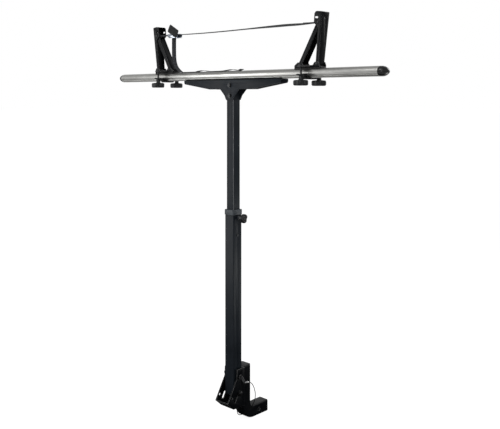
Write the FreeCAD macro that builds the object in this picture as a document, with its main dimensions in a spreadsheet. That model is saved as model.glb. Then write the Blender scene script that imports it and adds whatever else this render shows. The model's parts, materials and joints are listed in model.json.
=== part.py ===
import FreeCAD, Part
import math
import os
import Sketcher

# Hitch mount load carrier. Millimetres, +Z up, +X across the vehicle,
# +Y towards the vehicle. The origin is the centre of the hitch pin bore.

Vec = FreeCAD.Vector
UP = Vec(0, 0, 1)
ACROSS = Vec(0, 1, 0)
ALONG = Vec(1, 0, 0)

# Driving dimensions: word, value, what it measures
DRIVING = [
    ("shank_side", 50.0, "hitch shank, outside width"),
    ("shank_wall", 5.0, "hitch shank wall"),
    ("shank_corner", 5.0, "hitch shank outer corner radius"),
    ("shank_bend", 45.0, "hitch shank bend radius on its centre line"),
    ("shank_top", 209.0, "top of the standing leg over the hitch pin"),
    ("shank_cap_tall", 3.0, "plate of the plug in the standing leg"),
    ("plug_deep", 14.0, "depth of a plastic plug in its tube"),
    ("plug_gap", 0.3, "clearance of a plug in its tube"),
    ("tongue_reach", 57.0, "hitch pin to the end of the tongue"),
    ("pin_to_post", 134.0, "hitch pin to the post axis"),
    ("hitch_pin_radius", 8.0, "hitch pin bore"),
    ("rear_gap", 0.5, "post to the back plate"),
    ("back_plate", 6.0, "foot bracket back plate"),
    ("ear_plate", 5.0, "foot bracket ear"),
    ("ear_gap", 8.0, "post side to ear"),
    ("ear_top", 212.0, "top of the ears"),
    ("ear_shoulder", 172.0, "height where the sloping front edge starts"),
    ("ear_top_reach", 14.0, "ear top, forward of the post axis"),
    ("ear_shoulder_reach", 16.0, "ear shoulder, forward of the post axis"),
    ("lip_reach", 71.0, "front lip, forward of the post axis"),
    ("lip_height", 80.0, "height of the front lip"),
    ("floor_reach", 36.0, "flat floor, forward of the post axis"),
    ("floor_height", 50.0, "underside of the bracket floor"),
    ("floor_plate", 5.0, "bracket floor"),
    ("pivot_height", 110.0, "tilt pivot over the hitch pin"),
    ("pivot_radius", 6.0, "tilt pivot bolt"),
    ("lock_arm", 70.0, "tilt pivot to the lock pin"),
    ("store_reach", 47.0, "spare hole in the ears, forward of the post axis"),
    ("store_low", 10.0, "spare hole in the ears, below the pivot"),
    ("lock_radius", 5.0, "lock pin"),
    ("running_gap", 0.05, "radial clearance of a turning or sliding pin"),
    ("bolt_gap", 0.1, "radial clearance of a fixed bolt"),
    ("seat_gap", 0.3, "clearance between pieces that move on each other"),
    ("window_wide", 12.0, "width of the window in the ear"),
    ("window_near", 18.0, "window, upper end forward of the pivot"),
    ("window_high", 9.5, "window, upper end below the pivot"),
    ("window_far", 27.5, "window, lower end forward and below the pivot"),
    ("rattle_height", 180.0, "anti-rattle screw over the hitch pin"),
    ("post_side", 50.0, "outer post, outside width"),
    ("post_wall", 3.0, "outer post wall"),
    ("post_corner", 4.0, "outer post corner radius"),
    ("post_top", 883.0, "top of the outer post"),
    ("collar_tall", 22.0, "collar height"),
    ("collar_wall", 3.0, "collar wall round the post"),
    ("collar_lip", 4.0, "collar over the end of the post"),
    ("clamp_drop", 30.0, "clamp screw below the top of the post"),
    ("clamp_boss_radius", 9.0, "clamp screw boss"),
    ("clamp_boss_long", 12.0, "clamp screw boss length"),
    ("stud_radius", 4.0, "clamp screw"),
    ("wing_radius", 20.0, "post knob"),
    ("wing_thick", 22.0, "post knob thickness"),
    ("wing_stand", 10.0, "post knob, face to boss"),
    ("screw_drop", 74.0, "guide screw below the clamp screw"),
    ("screw_radius", 3.0, "guide screw"),
    ("mast_side", 40.0, "inner post, outside width"),
    ("mast_wall", 2.5, "inner post wall"),
    ("mast_corner", 3.5, "inner post corner radius"),
    ("mast_foot", 560.0, "lower end of the inner post"),
    ("glide_tall", 24.0, "glide block below the inner post"),
    ("bar_seat", 1440.0, "underside of the crossbar over the hitch pin"),
    ("sheet", 3.0, "bar bracket sheet"),
    ("arm_half", 289.0, "bar bracket, half length"),
    ("arm_lip", 16.0, "bar bracket depth at its ends"),
    ("arm_reach", 122.0, "bar bracket, end of the deep part"),
    ("arm_deep", 41.0, "bar bracket depth in the deep part"),
    ("neck_reach", 57.0, "bar bracket, start of the throat"),
    ("throat_reach", 31.0, "bar bracket throat half width"),
    ("throat_deep", 67.0, "bar bracket throat depth"),
    ("tail_reach", 21.0, "bar bracket tail half width"),
    ("tail_deep", 87.0, "bar bracket tail depth"),
    ("head_bolt_deep", 23.0, "upper post bolt below the crossbar"),
    ("head_bolt_step", 45.0, "between the two post bolts"),
    ("head_bolt_radius", 5.0, "post bolt"),
    ("bar_wide", 60.0, "crossbar width"),
    ("bar_tall", 39.0, "crossbar oval height"),
    ("bar_flat", 1.0, "depth of the flat under the crossbar"),
    ("bar_wall", 2.5, "crossbar wall"),
    ("bar_long", 1500.0, "crossbar length"),
    ("slot_wide", 8.5, "crossbar slot"),
    ("slot_room", 17.0, "crossbar slot chamber width"),
    ("slot_neck", 3.5, "crossbar slot neck depth"),
    ("slot_deep", 9.0, "crossbar slot depth"),
    ("cap_reach", 31.0, "nose of the end cap"),
    ("fixing_inner", 110.0, "inner bar fixing from the middle"),
    ("fixing_edge", 27.0, "outer bar fixing from the end of the bar bracket"),
    ("fixing_radius", 4.0, "bar fixing screw"),
    ("support_right", 421.0, "right load support from the middle"),
    ("support_left", 432.0, "left load support from the middle"),
    ("base_half", 62.0, "support base, half length"),
    ("base_inside", 38.0, "support base, inside width"),
    ("base_sheet", 3.0, "support base sheet"),
    ("base_low", 11.0, "support base side, low part, over the bar"),
    ("pad_thick", 2.0, "rubber pad over the crest of the bar"),
    ("pad_half", 22.0, "rubber pad, half width"),
    ("foot_rise", 15.5, "foot pin over the bar"),
    ("foot_out", 48.0, "foot pin, outward of the support middle"),
    ("brace_in", 36.0, "brace pin, inward of the support middle"),
    ("link_radius", 4.0, "link pins of the support"),
    ("lug_radius", 7.5, "metal round a link pin"),
    ("upright_deep", 15.0, "upright, outside depth"),
    ("upright_sheet", 2.5, "upright sheet"),
    ("upright_tall", 201.0, "upright over its foot pin"),
    ("head_deep", 37.0, "upright head, outside depth"),
    ("head_tall", 46.0, "upright head height"),
    ("head_rise", 160.0, "head pin over the foot pin"),
    ("head_in", -8.0, "head pin, inward of the foot pin"),
    ("head_wide", 46.0, "upright, outside width at its head"),
    ("foot_wide", 34.0, "upright, outside width at its foot"),
    ("head_round", 13.0, "inner corner radius of the upright head"),
    ("tie_rise", 18.0, "head slot over the head pin"),
    ("tie_radius", 3.5, "half height of the head slot"),
    ("tie_reach", 4.5, "head slot, half length between its round ends"),
    ("upright_lean", 6.2, "outward lean of the upright, in degrees"),
    ("tie_out", 1.0, "head slot, outward of the foot pin"),
    ("brace_wide", 34.0, "brace, outside width"),
    ("brace_deep", 17.5, "brace, outside depth"),
    ("brace_sheet", 2.0, "brace sheet"),
    ("clamp_reach", 56.0, "clamp bolts, each side of the bar"),
    ("clamp_radius", 4.0, "clamp bolt"),
    ("yoke_wide", 34.0, "yoke width along the bar"),
    ("yoke_thick", 4.0, "yoke thickness"),
    ("yoke_end", 11.0, "yoke metal beyond a bolt"),
    ("saddle_thick", 5.0, "saddle thickness"),
    ("saddle_wide", 30.0, "saddle width along the bar"),
    ("saddle_arm", 23.0, "saddle arm top below the crest of the bar"),
    ("knob_radius", 30.0, "clamp knob"),
    ("knob_thick", 22.0, "clamp knob thickness"),
    ("knob_hub", 18.0, "clamp knob hub length"),
    ("knob_hub_radius", 9.0, "clamp knob hub"),
    ("strap_wide", 25.0, "strap width"),
    ("strap_thick", 1.8, "strap thickness"),
    ("buckle_wide", 34.0, "buckle width"),
    ("buckle_sheet", 2.0, "buckle sheet"),
    ("buckle_left", 412.0, "buckle, loop end from the middle"),
    ("buckle_right", 348.0, "buckle, strap end from the middle"),
    ("cam_place", 376.0, "cam pin from the middle"),
    ("cam_drop", 7.0, "cam pin below the strap"),
    ("cam_pin_radius", 2.0, "cam pin"),
    ("cam_radius", 5.5, "cam"),
    ("cover_long", 64.0, "buckle cover length"),
    ("cover_wide", 38.0, "buckle cover width"),
    ("cover_thick", 7.0, "buckle cover thickness"),
    ("cover_tilt", 29.0, "buckle cover tilt"),
    ("cover_in", 23.0, "buckle cover middle, outward of the strap end of the buckle"),
    ("cover_rise", 19.0, "buckle cover middle over the strap"),
    ("wire_radius", 1.6, "lanyard wire"),
]

doc = FreeCAD.newDocument("load_carrier")
sheet = doc.addObject("Spreadsheet::Sheet", "Sizes")
kept = []


class Size:
    """A dimension that knows both its number and the sheet expression that gives it."""

    def __init__(self, value, text):
        self.value = float(value)
        self.text = text

    def __add__(self, other):
        return Size(self.value + number(other), "(%s + %s)" % (self.text, words(other)))

    def __radd__(self, other):
        return Size(number(other) + self.value, "(%s + %s)" % (words(other), self.text))

    def __sub__(self, other):
        return Size(self.value - number(other), "(%s - %s)" % (self.text, words(other)))

    def __rsub__(self, other):
        return Size(number(other) - self.value, "(%s - %s)" % (words(other), self.text))

    def __mul__(self, other):
        return Size(self.value * number(other), "(%s * %s)" % (self.text, words(other)))

    def __rmul__(self, other):
        return Size(number(other) * self.value, "(%s * %s)" % (words(other), self.text))

    def __truediv__(self, other):
        return Size(self.value / number(other), "(%s / %s)" % (self.text, words(other)))

    def __neg__(self):
        return Size(-self.value, "(-1 * %s)" % self.text)


def number(size):
    return size.value if isinstance(size, Size) else float(size)


def words(size):
    return size.text if isinstance(size, Size) else "%.6f" % size


def fill_sheet():
    for row, (word, value, note) in enumerate(DRIVING, start=1):
        sheet.set("A%d" % row, note)
        sheet.set("B%d" % row, "%g" % value)
        sheet.setAlias("B%d" % row, word)
    doc.recompute()


fill_sheet()
S = {word: Size(value, "Sizes.%s" % word) for word, value, note in DRIVING}


def bind(thing, prop, size):
    """Set a property to a size and tie it to the sheet."""
    if "." not in prop:
        setattr(thing, prop, number(size))
    if isinstance(size, Size):
        thing.setExpression(prop, size.text)


def place(thing, at=(0, 0, 0), turn=None):
    """Put a piece at a point, turned by a rotation, with its place tied to the sheet."""
    turn = turn or FreeCAD.Rotation()
    thing.Placement = FreeCAD.Placement(Vec(*[number(v) for v in at]), turn)
    for axis, size in zip("xyz", at):
        bind(thing, "Placement.Base." + axis, size)


def keep(thing, label, at=None, turn=None):
    """Name a finished sub-part; its label is its file."""
    thing.Label = label
    if at is not None:
        place(thing, at, turn)
    kept.append(thing)
    return thing


# PartDesign helpers

def new_body(label, at=(0, 0, 0), turn=None):
    body = doc.addObject("PartDesign::Body", label)
    return keep(body, label, at, turn)


def sketch_on(body, plane, lift=0):
    sketch = body.newObject("Sketcher::SketchObject", body.Name + "_sketch")
    origin_plane = [p for p in body.Origin.OriginFeatures if p.Role == plane + "_Plane"][0]
    sketch.AttachmentSupport = [(origin_plane, "")]
    sketch.MapMode = "FlatFace"
    sketch.AttachmentOffset = FreeCAD.Placement(Vec(0, 0, number(lift)), FreeCAD.Rotation())
    bind(sketch, "AttachmentOffset.Base.z", lift)
    return sketch


def tie_point(sketch, shape, end, x, y):
    """Hold one point of a sketch at x, y from its origin."""
    for kind, axis, size in (("DistanceX", -2, x), ("DistanceY", -1, y)):
        if abs(number(size)) < 1e-9:
            sketch.addConstraint(Sketcher.Constraint("PointOnObject", shape, end, axis))
            continue
        made = sketch.addConstraint(Sketcher.Constraint(kind, -1, 1, shape, end, number(size)))
        if isinstance(size, Size):
            sketch.setExpression("Constraints[%d]" % made, size.text)


def polygon(sketch, points):
    first = sketch.GeometryCount
    count = len(points)
    flat = [Vec(number(x), number(y), 0) for x, y in points]
    for i in range(count):
        sketch.addGeometry(Part.LineSegment(flat[i], flat[(i + 1) % count]), False)
    for i in range(count):
        joined = Sketcher.Constraint("Coincident", first + i, 2, first + (i + 1) % count, 1)
        sketch.addConstraint(joined)
    for i, (x, y) in enumerate(points):
        tie_point(sketch, first + i, 1, x, y)
    return sketch


def oblong(sketch, x_low, x_high, y_low, y_high):
    corners = [(x_low, y_low), (x_high, y_low), (x_high, y_high), (x_low, y_high)]
    return polygon(sketch, corners)


def box_sketch(sketch, wide, deep):
    return oblong(sketch, -wide / 2, wide / 2, -deep / 2, deep / 2)


def circle(sketch, x, y, radius):
    made = sketch.addGeometry(Part.Circle(Vec(number(x), number(y), 0), UP, number(radius)), False)
    tie_point(sketch, made, 3, x, y)
    size = sketch.addConstraint(Sketcher.Constraint("Radius", made, number(radius)))
    if isinstance(radius, Size):
        sketch.setExpression("Constraints[%d]" % size, radius.text)
    return sketch


def pad(body, sketch, length, both=False, back=False):
    made = body.newObject("PartDesign::Pad", body.Name + "_pad")
    made.Profile = sketch
    made.SideType = "Symmetric" if both else "One side"
    made.Reversed = back
    bind(made, "Length", length)
    doc.recompute()
    return made


def pocket(body, sketch, length=None, both=False, back=False):
    """Cut a sketch out of a body, to a length or right through, and see that it cuts."""
    before = body.Shape.Volume
    made = body.newObject("PartDesign::Pocket", body.Name + "_pocket")
    made.Profile = sketch
    made.SideType = "Symmetric" if both else "One side"
    made.Reversed = back
    made.Type = "Length" if length is not None else "ThroughAll"
    if length is not None:
        bind(made, "Length", length)
    doc.recompute()
    if not body.Shape.Volume < before - 1e-3:
        raise RuntimeError("a pocket in %s cuts nothing" % body.Label)
    return made


def bore(body, plane, x, y, radius, lift=0, length=None, both=True, back=False):
    hole = circle(sketch_on(body, plane, lift), x, y, radius)
    return pocket(body, hole, length, both, back)


def straight_edges(shape, direction, wanted=lambda middle: True):
    """Names of the straight edges along a direction whose middle is wanted."""
    names = []
    for i, edge in enumerate(shape.Edges, start=1):
        if not isinstance(edge.Curve, Part.Line):
            continue
        if edge.Curve.Direction.cross(direction).Length > 1e-4:
            continue
        if wanted(edge.CenterOfMass):
            names.append("Edge%d" % i)
    return names


def fillet(body, direction, radius, wanted=lambda middle: True):
    """Round a body's straight edges along a direction; its local frame is used."""
    base = body.Tip
    names = straight_edges(base.Shape, direction, wanted)
    made = body.newObject("PartDesign::Fillet", body.Name + "_fillet")
    made.Base = (base, names)
    bind(made, "Radius", radius)
    doc.recompute()
    return made


def square_tube(body, side, wall, corner, low, high):
    """A rolled square tube standing on the XY plane between two heights."""
    pad(body, box_sketch(sketch_on(body, "XY", low), side, side), high - low)
    fillet(body, UP, corner)
    inner = side - wall * 2
    pocket(body, box_sketch(sketch_on(body, "XY", low), inner, inner), back=True)


# Part helpers

def solid(kind, name, **sizes):
    made = doc.addObject("Part::" + kind, name)
    for prop, size in sizes.items():
        bind(made, prop, size)
    return made


def rod(name, radius, length, at=(0, 0, 0), turn=None):
    made = solid("Cylinder", name, Radius=radius, Height=length)
    place(made, at, turn)
    return made


def block(name, long, wide, tall, at=(0, 0, 0)):
    made = solid("Box", name, Length=long, Width=wide, Height=tall)
    place(made, at)
    return made


def hexagon(name, radius, tall, at=(0, 0, 0), turn=None):
    made = solid("Prism", name, Circumradius=radius, Height=tall)
    made.Polygon = 6
    place(made, at, turn)
    return made


def joined(name, pieces):
    made = doc.addObject("Part::MultiFuse", name)
    made.Shapes = pieces
    return made


def cut(name, base, tool):
    made = doc.addObject("Part::Cut", name)
    made.Base = base
    made.Tool = tool
    return made


def common(name, base, tool):
    made = doc.addObject("Part::Common", name)
    made.Base = base
    made.Tool = tool
    return made


def group(name, pieces):
    """Separate solids that share one node."""
    made = doc.addObject("Part::Compound", name)
    made.Links = pieces
    return made


def oval_prism(name, wide, tall, long, start, centre_height):
    """An oval section run along X."""
    ring = doc.addObject("Part::Ellipse", name + "_oval")
    bind(ring, "MajorRadius", wide / 2)
    bind(ring, "MinorRadius", tall / 2)
    turn = FreeCAD.Rotation(Vec(0, 1, 0), Vec(0, 0, 1), Vec(1, 0, 0), "ZXY")
    place(ring, (start, 0, centre_height), turn)
    made = doc.addObject("Part::Extrusion", name)
    made.Base = ring
    made.DirMode = "Custom"
    made.Dir = ALONG
    made.Solid = True
    bind(made, "LengthFwd", long)
    return made


TO_X = FreeCAD.Rotation(ACROSS, 90)
TO_BACK_X = FreeCAD.Rotation(ACROSS, -90)
TO_Y = FreeCAD.Rotation(ALONG, -90)
TO_DOWN = FreeCAD.Rotation(ALONG, 180)

# Places that several pieces share
half_post = S["post_side"] / 2
ear_inner = half_post + S["ear_gap"]
ear_outer = ear_inner + S["ear_plate"]
plate_front = half_post + S["rear_gap"]
plate_rear = plate_front + S["back_plate"]
post_y = -S["pin_to_post"]
leg_y = post_y + plate_rear + S["shank_side"] / 2
lock_height = S["pivot_height"] + S["lock_arm"]
clamp_height = S["post_top"] - S["clamp_drop"]
screw_height = clamp_height - S["screw_drop"]
fixing_outer = S["arm_half"] - S["fixing_edge"]
floor_top = S["floor_height"] + S["floor_plate"]
collar_top = S["post_top"] + S["collar_lip"]
bar_middle = S["bar_seat"] + S["bar_tall"] / 2 - S["bar_flat"]
bar_crest = bar_middle + S["bar_tall"] / 2
bracket_wide = S["mast_side"] + S["seat_gap"] * 2 + S["sheet"] * 2
foot_height = bar_crest + S["foot_rise"]
strap_height = foot_height + S["head_rise"]
base_floor_top = S["pad_thick"] + S["base_sheet"]
saddle_under = -S["saddle_arm"] - S["saddle_thick"]
knob_top = saddle_under - S["seat_gap"]
at_post = (0, post_y, 0)


# Hitch shank

def sweep(body, kind, path, side):
    """Run a square of a given side along the path of the shank."""
    section = box_sketch(sketch_on(body, "XZ", -S["tongue_reach"]), side, side)
    pipe = body.newObject(kind, "shank_pipe")
    pipe.Profile = section
    pipe.Spine = (path, ["Edge1", "Edge2", "Edge3"])
    doc.recompute()


def hitch_shank():
    """A square tube bent through a right angle, with the hitch pin bore in its tongue."""
    body = new_body("hitch_shank")
    bend = S["shank_bend"]
    path = sketch_on(body, "YZ")
    turn_y = leg_y + bend
    points = [(S["tongue_reach"], 0), (turn_y, 0), (leg_y, bend), (leg_y, S["shank_top"])]
    flat = [Vec(number(x), number(y), 0) for x, y in points]
    path.addGeometry(Part.LineSegment(flat[0], flat[1]), False)
    centre = Vec(number(turn_y), number(bend), 0)
    bow = Part.ArcOfCircle(Part.Circle(centre, UP, number(bend)), math.pi, 1.5 * math.pi)
    path.addGeometry(bow, False)
    path.addGeometry(Part.LineSegment(flat[2], flat[3]), False)
    path.addConstraint(Sketcher.Constraint("Coincident", 0, 2, 1, 2))
    path.addConstraint(Sketcher.Constraint("Coincident", 2, 1, 1, 1))
    for shape, end, (x, y) in ((0, 1, points[0]), (0, 2, points[1]), (2, 1, points[2]), (2, 2, points[3])):
        tie_point(path, shape, end, x, y)
    radius = path.addConstraint(Sketcher.Constraint("Radius", 1, number(bend)))
    path.setExpression("Constraints[%d]" % radius, bend.text)
    inner = S["shank_side"] - S["shank_wall"] * 2
    sweep(body, "PartDesign::AdditivePipe", path, S["shank_side"])
    half = number(S["shank_side"]) / 2 - 0.01
    fillet(body, ACROSS, S["shank_corner"], lambda middle: abs(middle.x) > half and abs(middle.z) > half)
    sweep(body, "PartDesign::SubtractivePipe", path, inner)
    bore(body, "YZ", 0, 0, S["hitch_pin_radius"])


def shank_cap():
    """The plastic plug that closes the standing leg."""
    body = new_body("shank_cap", (0, leg_y, S["shank_top"]))
    side = S["shank_side"]
    pad(body, box_sketch(sketch_on(body, "XY"), side, side), S["shank_cap_tall"])
    fillet(body, UP, S["shank_corner"])
    plug = side - S["shank_wall"] * 2 - S["plug_gap"] * 2
    pad(body, box_sketch(sketch_on(body, "XY"), plug, plug), S["plug_deep"], back=True)


# Foot bracket

def foot_bracket():
    """Back plate, two flared ears, floor and rising front lip, folded from one plate."""
    body = new_body("foot_bracket", at_post)
    floor = S["floor_height"]
    outline = [
        (plate_rear, floor),
        (-S["floor_reach"], floor),
        (-S["lip_reach"], S["lip_height"]),
        (-S["ear_shoulder_reach"], S["ear_shoulder"]),
        (-S["ear_top_reach"], S["ear_top"]),
        (plate_rear, S["ear_top"]),
    ]
    pad(body, polygon(sketch_on(body, "YZ"), outline), ear_outer * 2, both=True)
    fillet(body, UP, S["ear_plate"], lambda middle: middle.y > number(plate_front))
    beyond = S["lip_reach"] * 2 - S["floor_reach"]
    lip_rise = S["lip_height"] - floor
    room = [
        (plate_front, floor_top),
        (-S["floor_reach"], floor_top),
        (-beyond, floor_top + lip_rise * 2),
        (-beyond, S["ear_top"] + lip_rise),
        (plate_front, S["ear_top"] + lip_rise),
    ]
    pocket(body, polygon(sketch_on(body, "YZ"), room), ear_inner * 2, both=True)
    bore(body, "YZ", 0, S["pivot_height"], S["pivot_radius"] + S["bolt_gap"])
    bore(body, "YZ", 0, lock_height, S["lock_radius"] + S["running_gap"],
         lift=ear_inner + S["ear_plate"] * 2, length=S["ear_plate"] * 2.5, both=False)
    bore(body, "YZ", -S["store_reach"], S["pivot_height"] - S["store_low"],
         S["lock_radius"] + S["running_gap"])
    ear_windows(body)
    bore(body, "YZ", 0, S["rattle_height"], S["stud_radius"] + S["bolt_gap"],
         lift=-ear_inner, length=S["ear_plate"] * 2, both=False)


def ear_windows(body):
    """A slanting slot through both ears, along their sloping front edge."""
    top = (-S["window_near"], S["pivot_height"] - S["window_high"])
    low = (-S["window_far"], S["pivot_height"] - S["window_far"])
    run = math.atan2(number(top[1]) - number(low[1]), number(top[0]) - number(low[0]))
    half = S["window_wide"] / 2
    side_y = half * math.sin(run)
    side_z = half * math.cos(run)
    corners = [
        (low[0] - side_y, low[1] + side_z),
        (low[0] + side_y, low[1] - side_z),
        (top[0] + side_y, top[1] - side_z),
        (top[0] - side_y, top[1] + side_z),
    ]
    pocket(body, polygon(sketch_on(body, "YZ"), corners), both=True)
    for y, z in (top, low):
        bore(body, "YZ", y, z, half)


def hex_bolt(name, radius, long, head_radius, head_tall, nut_tall):
    """A bolt along +Z from its head at zero, with its nut at the far end."""
    head = hexagon(name + "_head", head_radius, head_tall, (0, 0, -head_tall))
    shank = rod(name + "_shank", radius, long + nut_tall + radius / 2)
    nut = hexagon(name + "_nut", head_radius, nut_tall, (0, 0, long))
    return joined(name, [head, shank, nut])


def pivot_bolt():
    radius = S["pivot_radius"]
    bolt = hex_bolt("pivot_bolt_piece", radius, ear_outer * 2, radius * 1.8, radius * 1.2, radius * 1.6)
    keep(bolt, "pivot_bolt", (-ear_outer, post_y, S["pivot_height"]), TO_X)


def ring_piece(name, outer, inner, long, at, turn):
    made = cut(name, rod(name + "_outer", outer, long), rod(name + "_inner", inner, long))
    place(made, at, turn)
    return made


def pivot_spacers():
    """Washers on the pivot bolt that centre the post between the ears."""
    outer = S["pivot_radius"] * 2
    inner = S["pivot_radius"] + S["bolt_gap"]
    long = S["ear_gap"] - S["bolt_gap"]
    left = ring_piece("spacer_left", outer, inner, long, (-ear_inner, 0, 0), TO_X)
    right = ring_piece("spacer_right", outer, inner, long, (ear_inner, 0, 0), TO_BACK_X)
    keep(group("spacers", [left, right]), "pivot_spacers", (0, post_y, S["pivot_height"]))


lock_bush_long = 6.0
handle_radius = 5.8
handle_long = 21.0
tab_half = 2.5
eye_along = 27.0
ring_radius = 7.0
ring_wire = 1.5
ferrule_radius = 2.8
ferrule_long = 12.0
elbow_out = ear_outer + lock_bush_long + S["seat_gap"] + S["lock_radius"]
HANDLE_WAY = Vec(0.695, 0, -0.719)


def lock_pin_bush():
    """The guide that is welded to the outside of the right ear."""
    outer = S["lock_radius"] + 4.0
    inner = S["lock_radius"] + S["running_gap"]
    ring = ring_piece("bush_ring", outer, inner, lock_bush_long, (0, 0, 0), TO_X)
    keep(group("bush", [ring]), "lock_pin_bush", (ear_outer, post_y, lock_height))


def lock_pin():
    """The bent pull pin: it passes the ear and enters the wall of the post."""
    start = half_post - S["post_wall"] - 0.8
    shaft = rod("pin_shaft", S["lock_radius"], elbow_out - start, (start, 0, 0), TO_X)
    elbow = solid("Sphere", "pin_elbow", Radius=handle_radius)
    handle = rod("pin_handle", handle_radius, handle_long)
    tab_start = handle_long - tab_half
    tab = block("pin_tab", tab_half * 2, handle_radius * 2, eye_along - tab_start,
                (-tab_half, -handle_radius, tab_start))
    tab_end = rod("pin_tab_end", handle_radius, tab_half * 2, (-tab_half, 0, eye_along), TO_X)
    eye = rod("pin_eye", ring_wire + 0.9, tab_half * 4, (-tab_half * 2, 0, eye_along), TO_X)
    bent = cut("pin_bent", joined("pin_grip", [elbow, handle, tab, tab_end]), eye)
    place(bent, (elbow_out, 0, 0), FreeCAD.Rotation(UP, HANDLE_WAY))
    keep(joined("pin_whole", [shaft, bent]), "lock_pin", (0, post_y, lock_height))


def lock_pin_ring():
    """The ring in the end of the lock pin, with the crimped end of the lanyard."""
    start, end = wire_start()
    eye = start - Vec(0, 2 * ring_radius, 0)
    ring = solid("Torus", "pull_ring", Radius1=ring_radius, Radius2=ring_wire)
    place(ring, (0, ring_radius, 0), FreeCAD.Rotation(UP, HANDLE_WAY))
    sleeve = rod("ferrule", ferrule_radius, ferrule_long)
    place(sleeve, (0, 2 * ring_radius, 0), FreeCAD.Rotation(UP, end - start))
    piece = joined("ring_and_ferrule", [ring, sleeve])
    rise = eye.z - number(lock_height)
    keep(piece, "lock_pin_ring", (elbow_out + eye.x - number(elbow_out), post_y, lock_height + rise))


# Lanyard of the lock pin: its route from the ferrule round beside the shank to its eye,
# in x, y from the post axis and z over the hitch pin
LANYARD_ROUTE = [
    (66.0, 36.0, 154.0),
    (62.0, 55.0, 138.0),
    (57.0, 71.0, 115.0),
    (53.0, 81.0, 92.0),
    (49.0, 85.0, 70.0),
    (46.0, 80.0, 49.0),
    (43.5, 65.0, 31.0),
    (41.5, 43.0, 20.0),
    (36.5, 24.0, 15.5),
    (32.5, 4.5, 13.5),
]
EYE_TALL = 8.0
EYE_RADIUS = 5.0
EYE_X = 30.0
EYE_Y = -8.0


def wire_start():
    """The middle of the pull ring's far side, and the first point of the lanyard's route."""
    eye = Vec(number(elbow_out), 0, number(lock_height)) + HANDLE_WAY * eye_along
    low = eye + Vec(0, 2 * ring_radius, 0)
    return low, Vec(*LANYARD_ROUTE[0])


def rounded_path(points):
    """Straight runs joined by tangent arcs, each as large as its two runs allow."""
    edges = []
    here = points[0]
    radii = []
    for before, corner, after in zip(points, points[1:], points[2:]):
        back = before - corner
        ahead = after - corner
        short = min(back.Length, ahead.Length)
        back.normalize()
        ahead.normalize()
        half = (math.pi - back.getAngle(ahead)) / 2
        radius = 0.45 * short / math.tan(half)
        radii.append(round(radius, 1))
        step = radius * math.tan(half)
        enter = corner + back * step
        leave = corner + ahead * step
        middle = (back + ahead)
        middle.normalize()
        top = corner + middle * (radius / math.cos(half) - radius)
        edges.append(Part.LineSegment(here, enter).toShape())
        edges.append(Part.Arc(enter, top, leave).toShape())
        here = leave
    edges.append(Part.LineSegment(here, points[-1]).toShape())
    return Part.Wire(edges), radii


def lanyard():
    """The wire that ties the lock pin to the bracket."""
    low, first = wire_start()
    way = first - low
    way.normalize()
    start = low + way * ferrule_long
    bottom = number(S["floor_height"]) - EYE_TALL
    points = [start] + [Vec(*p) for p in LANYARD_ROUTE]
    points += [Vec(EYE_X + 0.5, EYE_Y + 0.5, bottom - 17.0), Vec(EYE_X, EYE_Y, bottom)]
    path, radii = rounded_path(points)
    radius = number(S["wire_radius"])
    section = Part.Wire([Part.Circle(points[0], points[1] - points[0], radius).toShape()])
    tube = path.makePipeShell([section], True, False)
    expected = math.pi * radius * radius * path.Length
    print("lanyard length %.1f, radii %s" % (path.Length, radii))
    print("lanyard volume %.1f against %.1f" % (tube.Volume, expected))
    made = doc.addObject("Part::Feature", "lanyard_tube")
    made.Shape = tube
    keep(made, "lanyard", (0, post_y, 0))


def lanyard_eye():
    """The crimp post under the bracket floor that holds the lanyard."""
    piece = rod("eye_post", EYE_RADIUS, EYE_TALL)
    keep(piece, "lanyard_eye", (EYE_X, EYE_Y - S["pin_to_post"], S["floor_height"] - EYE_TALL))


def rattle_screw():
    """A set screw with a lock nut in the left ear; its tip steadies the post."""
    radius = S["stud_radius"]
    nut_tall = 5.0
    head_tall = 7.0
    tip = S["ear_gap"] - S["seat_gap"]
    shank = rod("rattle_shank", radius, tip + S["ear_plate"] + nut_tall)
    nut = hexagon("rattle_nut", radius * 1.9, nut_tall, (0, 0, tip + S["ear_plate"]))
    head = hexagon("rattle_head", radius * 2, head_tall, (0, 0, tip + S["ear_plate"] + nut_tall))
    piece = joined("rattle_piece", [shank, nut, head])
    keep(piece, "rattle_screw", (-half_post - S["seat_gap"], post_y, S["rattle_height"]), TO_BACK_X)


# Outer post

def outer_post():
    """Square tube whose foot is rounded about the tilt pivot."""
    body = new_body("outer_post", at_post)
    side = S["post_side"]
    low = S["pivot_height"] - half_post
    pad(body, box_sketch(sketch_on(body, "XY", low), side, side), S["post_top"] - low)
    fillet(body, UP, S["post_corner"])
    inner = side - S["post_wall"] * 2
    pocket(body, box_sketch(sketch_on(body, "XY", low), inner, inner), back=True)
    foot_corners(body, low)
    bore(body, "YZ", 0, S["pivot_height"], S["pivot_radius"] + S["running_gap"])
    wall_hole(body, lock_height, S["lock_radius"] + S["running_gap"] * 2)
    wall_hole(body, clamp_height, S["stud_radius"] + S["bolt_gap"])
    wall_hole(body, screw_height, S["screw_radius"] + S["bolt_gap"])


def foot_corners(body, low):
    """Cut the foot of the post to a half circle about the pivot, seen from the side."""
    middle = S["pivot_height"]
    for side in (-1, 1):
        slope = sketch_on(body, "YZ")
        edge = side * half_post
        steps = (0.0, 0.25, 0.5, 0.75, 1.0)
        arc = []
        for step in steps:
            angle = step * math.pi / 2
            arc.append((edge * math.cos(angle), middle - half_post * math.sin(angle)))
        corner = [(edge * 1.2, middle), (edge * 1.2, low - half_post), (0, low - half_post)]
        polygon(slope, arc[:1] + corner + arc[:0:-1])
        pocket(body, slope, both=True)


def wall_hole(body, height, radius):
    """A hole in the right wall of the post only."""
    wall = S["post_wall"]
    bore(body, "YZ", 0, height, radius, lift=half_post + wall, length=wall * 3, both=False)


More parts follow.
